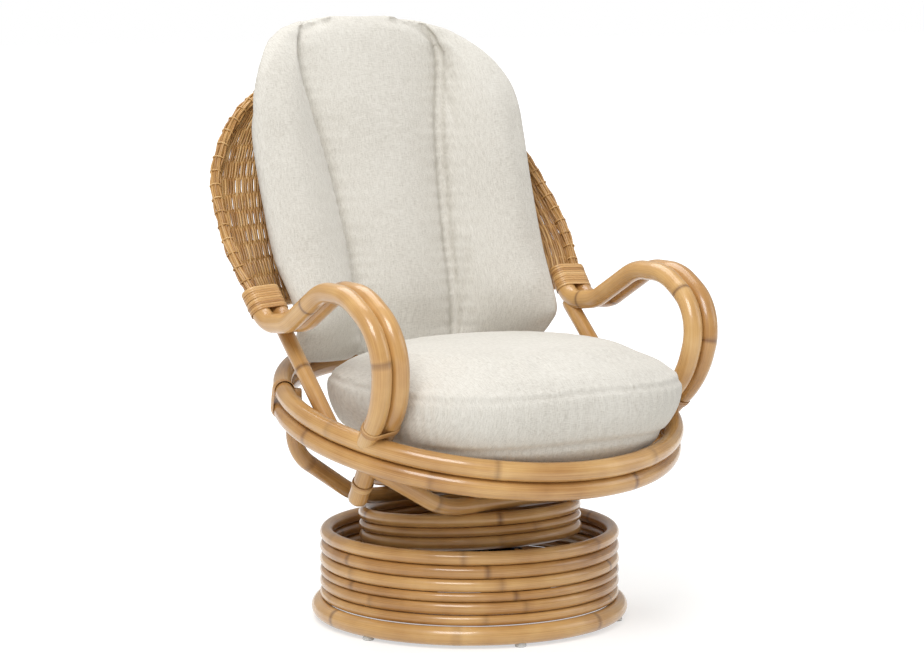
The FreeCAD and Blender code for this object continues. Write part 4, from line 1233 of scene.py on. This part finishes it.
class CHAIR_OT_back_cushion(bpy.types.Operator):
    """Back cushion with three padded channels"""

    bl_idname = "chair.back_cushion"
    bl_label = "Back cushion"

    def execute(self, context):
        rng = np.random.default_rng(42)
        obj = closed_form("linen_back_cushion", back_form(0.002), finish("linen"))

        def held(points):
            near = channel_distance(points)
            return np.exp(-((near / 0.005) ** 2)) * (near < 0.009)

        fill_with_cloth(obj, held, 0.008)
        soften(obj, 1)
        points = vertex_array(obj.data)
        sew(obj, channel_distance(points), 0.009, 0.009, points[:, 2], 0.0016, 0.024, rng)
        finish_cushion(obj, "back_cushion")
        return {"FINISHED"}


# ---------------------------------------------------------------- metalwork and glides


SPRING_WIDTH = 0.030
SPRING_WIRE = 0.003
SPRING_TURNS = 7


class CHAIR_OT_metalwork(bpy.types.Operator):
    """Coil springs of the rocker, and the finishes of plates, bolts, shaft and timber"""

    bl_idname = "chair.metalwork"
    bl_label = "Metalwork and timber"

    def execute(self, context):
        reach, wire = 0.5 * (SPRING_WIDTH - SPRING_WIRE) - 0.0001, 0.5 * SPRING_WIRE
        for name in ("front_springs", "rear_springs"):
            low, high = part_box(name)
            parts = []
            for hand in (-1, 1):
                x = hand * (high.x - 0.5 * SPRING_WIDTH)
                y = 0.5 * (low.y + high.y)
                t = np.linspace(0, 1, 240)
                pitch = np.interp(t, [0, 0.1, 0.9, 1], [0, 0.03, 0.97, 1])
                a = 2 * math.pi * SPRING_TURNS * t
                z = low.z + wire + 0.0001 + pitch * (high.z - low.z - SPRING_WIRE - 0.0002)
                path = np.stack([x + reach * np.cos(a), y + reach * np.sin(a), z], 1)
                points = tube(path, wire, 8, np.array([0, 0, 1.0]))
                parts.append(surface(points, a * reach, 2 * math.pi * wire))
            obj = piece("wire_" + name, parts, finish("spring"), None, [name])
            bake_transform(obj)
        groups = {
            "timber": ("base_cross", "drum_cross"),
            "dark_steel": ("swivel_lower_plate", "swivel_upper_plate", "rocker_bracket", "rocker_top_frame"),
            "bright_steel": ("swivel_bolts", "swivel_pin", "pivot_shaft"),
        }
        for name, nodes in groups.items():
            for node in nodes:
                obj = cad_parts[node]
                for slot in obj.material_slots:
                    slot.link = "OBJECT"
                    slot.material = finish(name)
        return {"FINISHED"}


# Radius and height of a glide's profile, and the place of the first glide in degrees
GLIDE_PROFILE = np.array([(0.0085, 0.0), (0.0098, 0.0008), (0.0100, 0.0022), (0.0092, 0.0060), (0.0080, 0.0085)])
GLIDE_TURN = 14.2


class CHAIR_OT_glides(bpy.types.Operator):
    """Clear glides under the foot ring"""

    bl_idname = "chair.glides"
    bl_label = "Floor glides"

    def execute(self, context):
        a = 2 * math.pi * np.arange(24) / 24
        out, height = GLIDE_PROFILE[:, :1], np.repeat(GLIDE_PROFILE[:, 1:], 24, 1)
        rings = np.stack([out * np.cos(a), out * np.sin(a), height], -1)
        turn = np.radians(GLIDE_TURN + 60.0 * np.arange(6))
        centres = np.stack([FOOT_RING[0] * np.cos(turn), FOOT_RING[0] * np.sin(turn), 0 * turn], 1)
        points = centres[:, None, None] + rings[None]
        part = surface(points, np.arange(len(rings)) * 0.003, 0.06)
        piece("clear_floor_glides", [part], finish("glide"), "base", ["floor_glides"])
        return {"FINISHED"}


# ---------------------------------------------------------------- stage


class CHAIR_OT_stage(bpy.types.Operator):
    """White floor and surround, soft lamps and the camera"""

    bl_idname = "chair.stage"
    bl_label = "Stage"

    def execute(self, context):
        scene = context.scene
        scene.view_settings.view_transform = "Standard"
        mesh = bpy.data.meshes.new("floor")
        mesh.from_pydata([(-40, -40, 0), (40, -40, 0), (40, 40, 0), (-40, 40, 0)], [], [(0, 1, 2, 3)])
        floor = bpy.data.objects.new("floor", mesh)
        scene.collection.objects.link(floor)
        material, tree = start_material("White studio floor")
        rays = add(tree, "ShaderNodeLightPath")
        seen = math_node(tree, "MAXIMUM", rays.outputs["Is Camera Ray"], rays.outputs["Is Glossy Ray"])
        seen = math_node(tree, "MAXIMUM", seen, rays.outputs["Is Transmission Ray"])
        cloth = add(tree, "ShaderNodeBsdfDiffuse", inputs={"Color": linear("#F4F4F2")})
        white = add(tree, "ShaderNodeEmission", inputs={"Color": (1, 1, 1, 1), "Strength": 1.35})
        ground = add(tree, "ShaderNodeTexCoord").outputs["Object"]
        away = add(tree, "ShaderNodeVectorMath", {"operation": "LENGTH"}, links={0: ground}).outputs["Value"]
        far = add(
            tree,
            "ShaderNodeMapRange",
            {"interpolation_type": "SMOOTHSTEP"},
            {"From Min": 0.55, "From Max": 1.6, "To Min": 0.45, "To Max": 1.0},
            {"Value": away},
        ).outputs[0]
        share = math_node(tree, "MULTIPLY", seen, far)
        both = add(tree, "ShaderNodeMixShader", links={0: share, 1: cloth.outputs[0], 2: white.outputs[0]})
        add(tree, "ShaderNodeOutputMaterial", links={"Surface": both.outputs[0]})
        mesh.materials.append(material)
        world = bpy.data.worlds.new("Soft white room")
        world.use_nodes = True
        tree = world.node_tree
        tree.nodes.clear()
        rays = add(tree, "ShaderNodeLightPath")
        seen = math_node(tree, "MAXIMUM", rays.outputs["Is Camera Ray"], rays.outputs["Is Transmission Ray"])
        strength = math_node(tree, "ADD", math_node(tree, "MULTIPLY", seen, 0.52), 0.48)
        back = add(tree, "ShaderNodeBackground", inputs={"Color": (1, 1, 1, 1)}, links={"Strength": strength})
        add(tree, "ShaderNodeOutputWorld", links={"Surface": back.outputs[0]})
        scene.world = world
        for name, spot, size, power in (
            ("key", (-2.2, -1.9, 3.4), 1.8, 100.0),
            ("fill", (3.2, -2.4, 2.2), 2.4, 26.0),
            ("top", (0.2, 1.2, 3.4), 2.4, 55.0),
        ):
            lamp = bpy.data.lights.new(name, "AREA")
            lamp.energy, lamp.size = power, size
            obj = bpy.data.objects.new(name, lamp)
            scene.collection.objects.link(obj)
            obj.location = spot
            aim = Vector((0.0, 0.0, 0.5)) - Vector(spot)
            obj.rotation_mode = "QUATERNION"
            obj.rotation_quaternion = aim.to_track_quat("-Z", "Y")
        camera = bpy.data.objects.new("camera", bpy.data.cameras.new("camera"))
        scene.collection.objects.link(camera)
        camera.data.sensor_width = SENSOR_WIDTH
        camera.data.lens = FOCAL_PIXELS * SENSOR_WIDTH / IMAGE_WIDTH
        right = Vector((0.820875, -0.571108, 0.0))
        ahead = Vector((0.56696, 0.814913, -0.120306)).normalized()
        up = right.cross(ahead).normalized()
        camera.matrix_world = Matrix((
            (right.x, up.x, -ahead.x, -2.866435),
            (right.y, up.y, -ahead.y, -4.096773),
            (right.z, up.z, -ahead.z, 1.121320),
            (0, 0, 0, 1),
        ))
        scene.camera = camera
        return {"FINISHED"}


# ---------------------------------------------------------------- panel and running order

STEPS = (
    CHAIR_OT_base_rings,
    CHAIR_OT_drum_rings,
    CHAIR_OT_seat_rings,
    CHAIR_OT_bearers,
    CHAIR_OT_arms,
    CHAIR_OT_woven_back,
    CHAIR_OT_back_frame,
    CHAIR_OT_bindings,
    CHAIR_OT_seat_cushion,
    CHAIR_OT_back_cushion,
    CHAIR_OT_metalwork,
    CHAIR_OT_glides,
    CHAIR_OT_stage,
)


class CHAIR_PT_panel(bpy.types.Panel):
    """Sidebar list of the chair's pieces and settings"""

    bl_label = "Rattan chair"
    bl_idname = "CHAIR_PT_panel"
    bl_space_type = "VIEW_3D"
    bl_region_type = "UI"
    bl_category = "Rattan chair"

    def draw(self, context):
        settings = context.scene.rattan_chair
        for group in (settings.poles, settings.weave, settings.cushions):
            box = self.layout.box()
            for name in group.__annotations__:
                box.prop(group, name)
        for step in STEPS:
            self.layout.operator(step.bl_idname)


CLASSES = (PoleSettings, WeaveSettings, CushionSettings, ChairSettings) + STEPS + (CHAIR_PT_panel,)


def register():
    for cls in CLASSES:
        bpy.utils.register_class(cls)
    bpy.types.Scene.rattan_chair = bpy.props.PointerProperty(type=ChairSettings)


def unregister():
    del bpy.types.Scene.rattan_chair
    for cls in reversed(CLASSES):
        bpy.utils.unregister_class(cls)


def main():
    register()
    for step in STEPS:
        group, name = step.bl_idname.split(".")
        getattr(getattr(bpy.ops, group), name)()


if __name__ == "__main__":
    main()
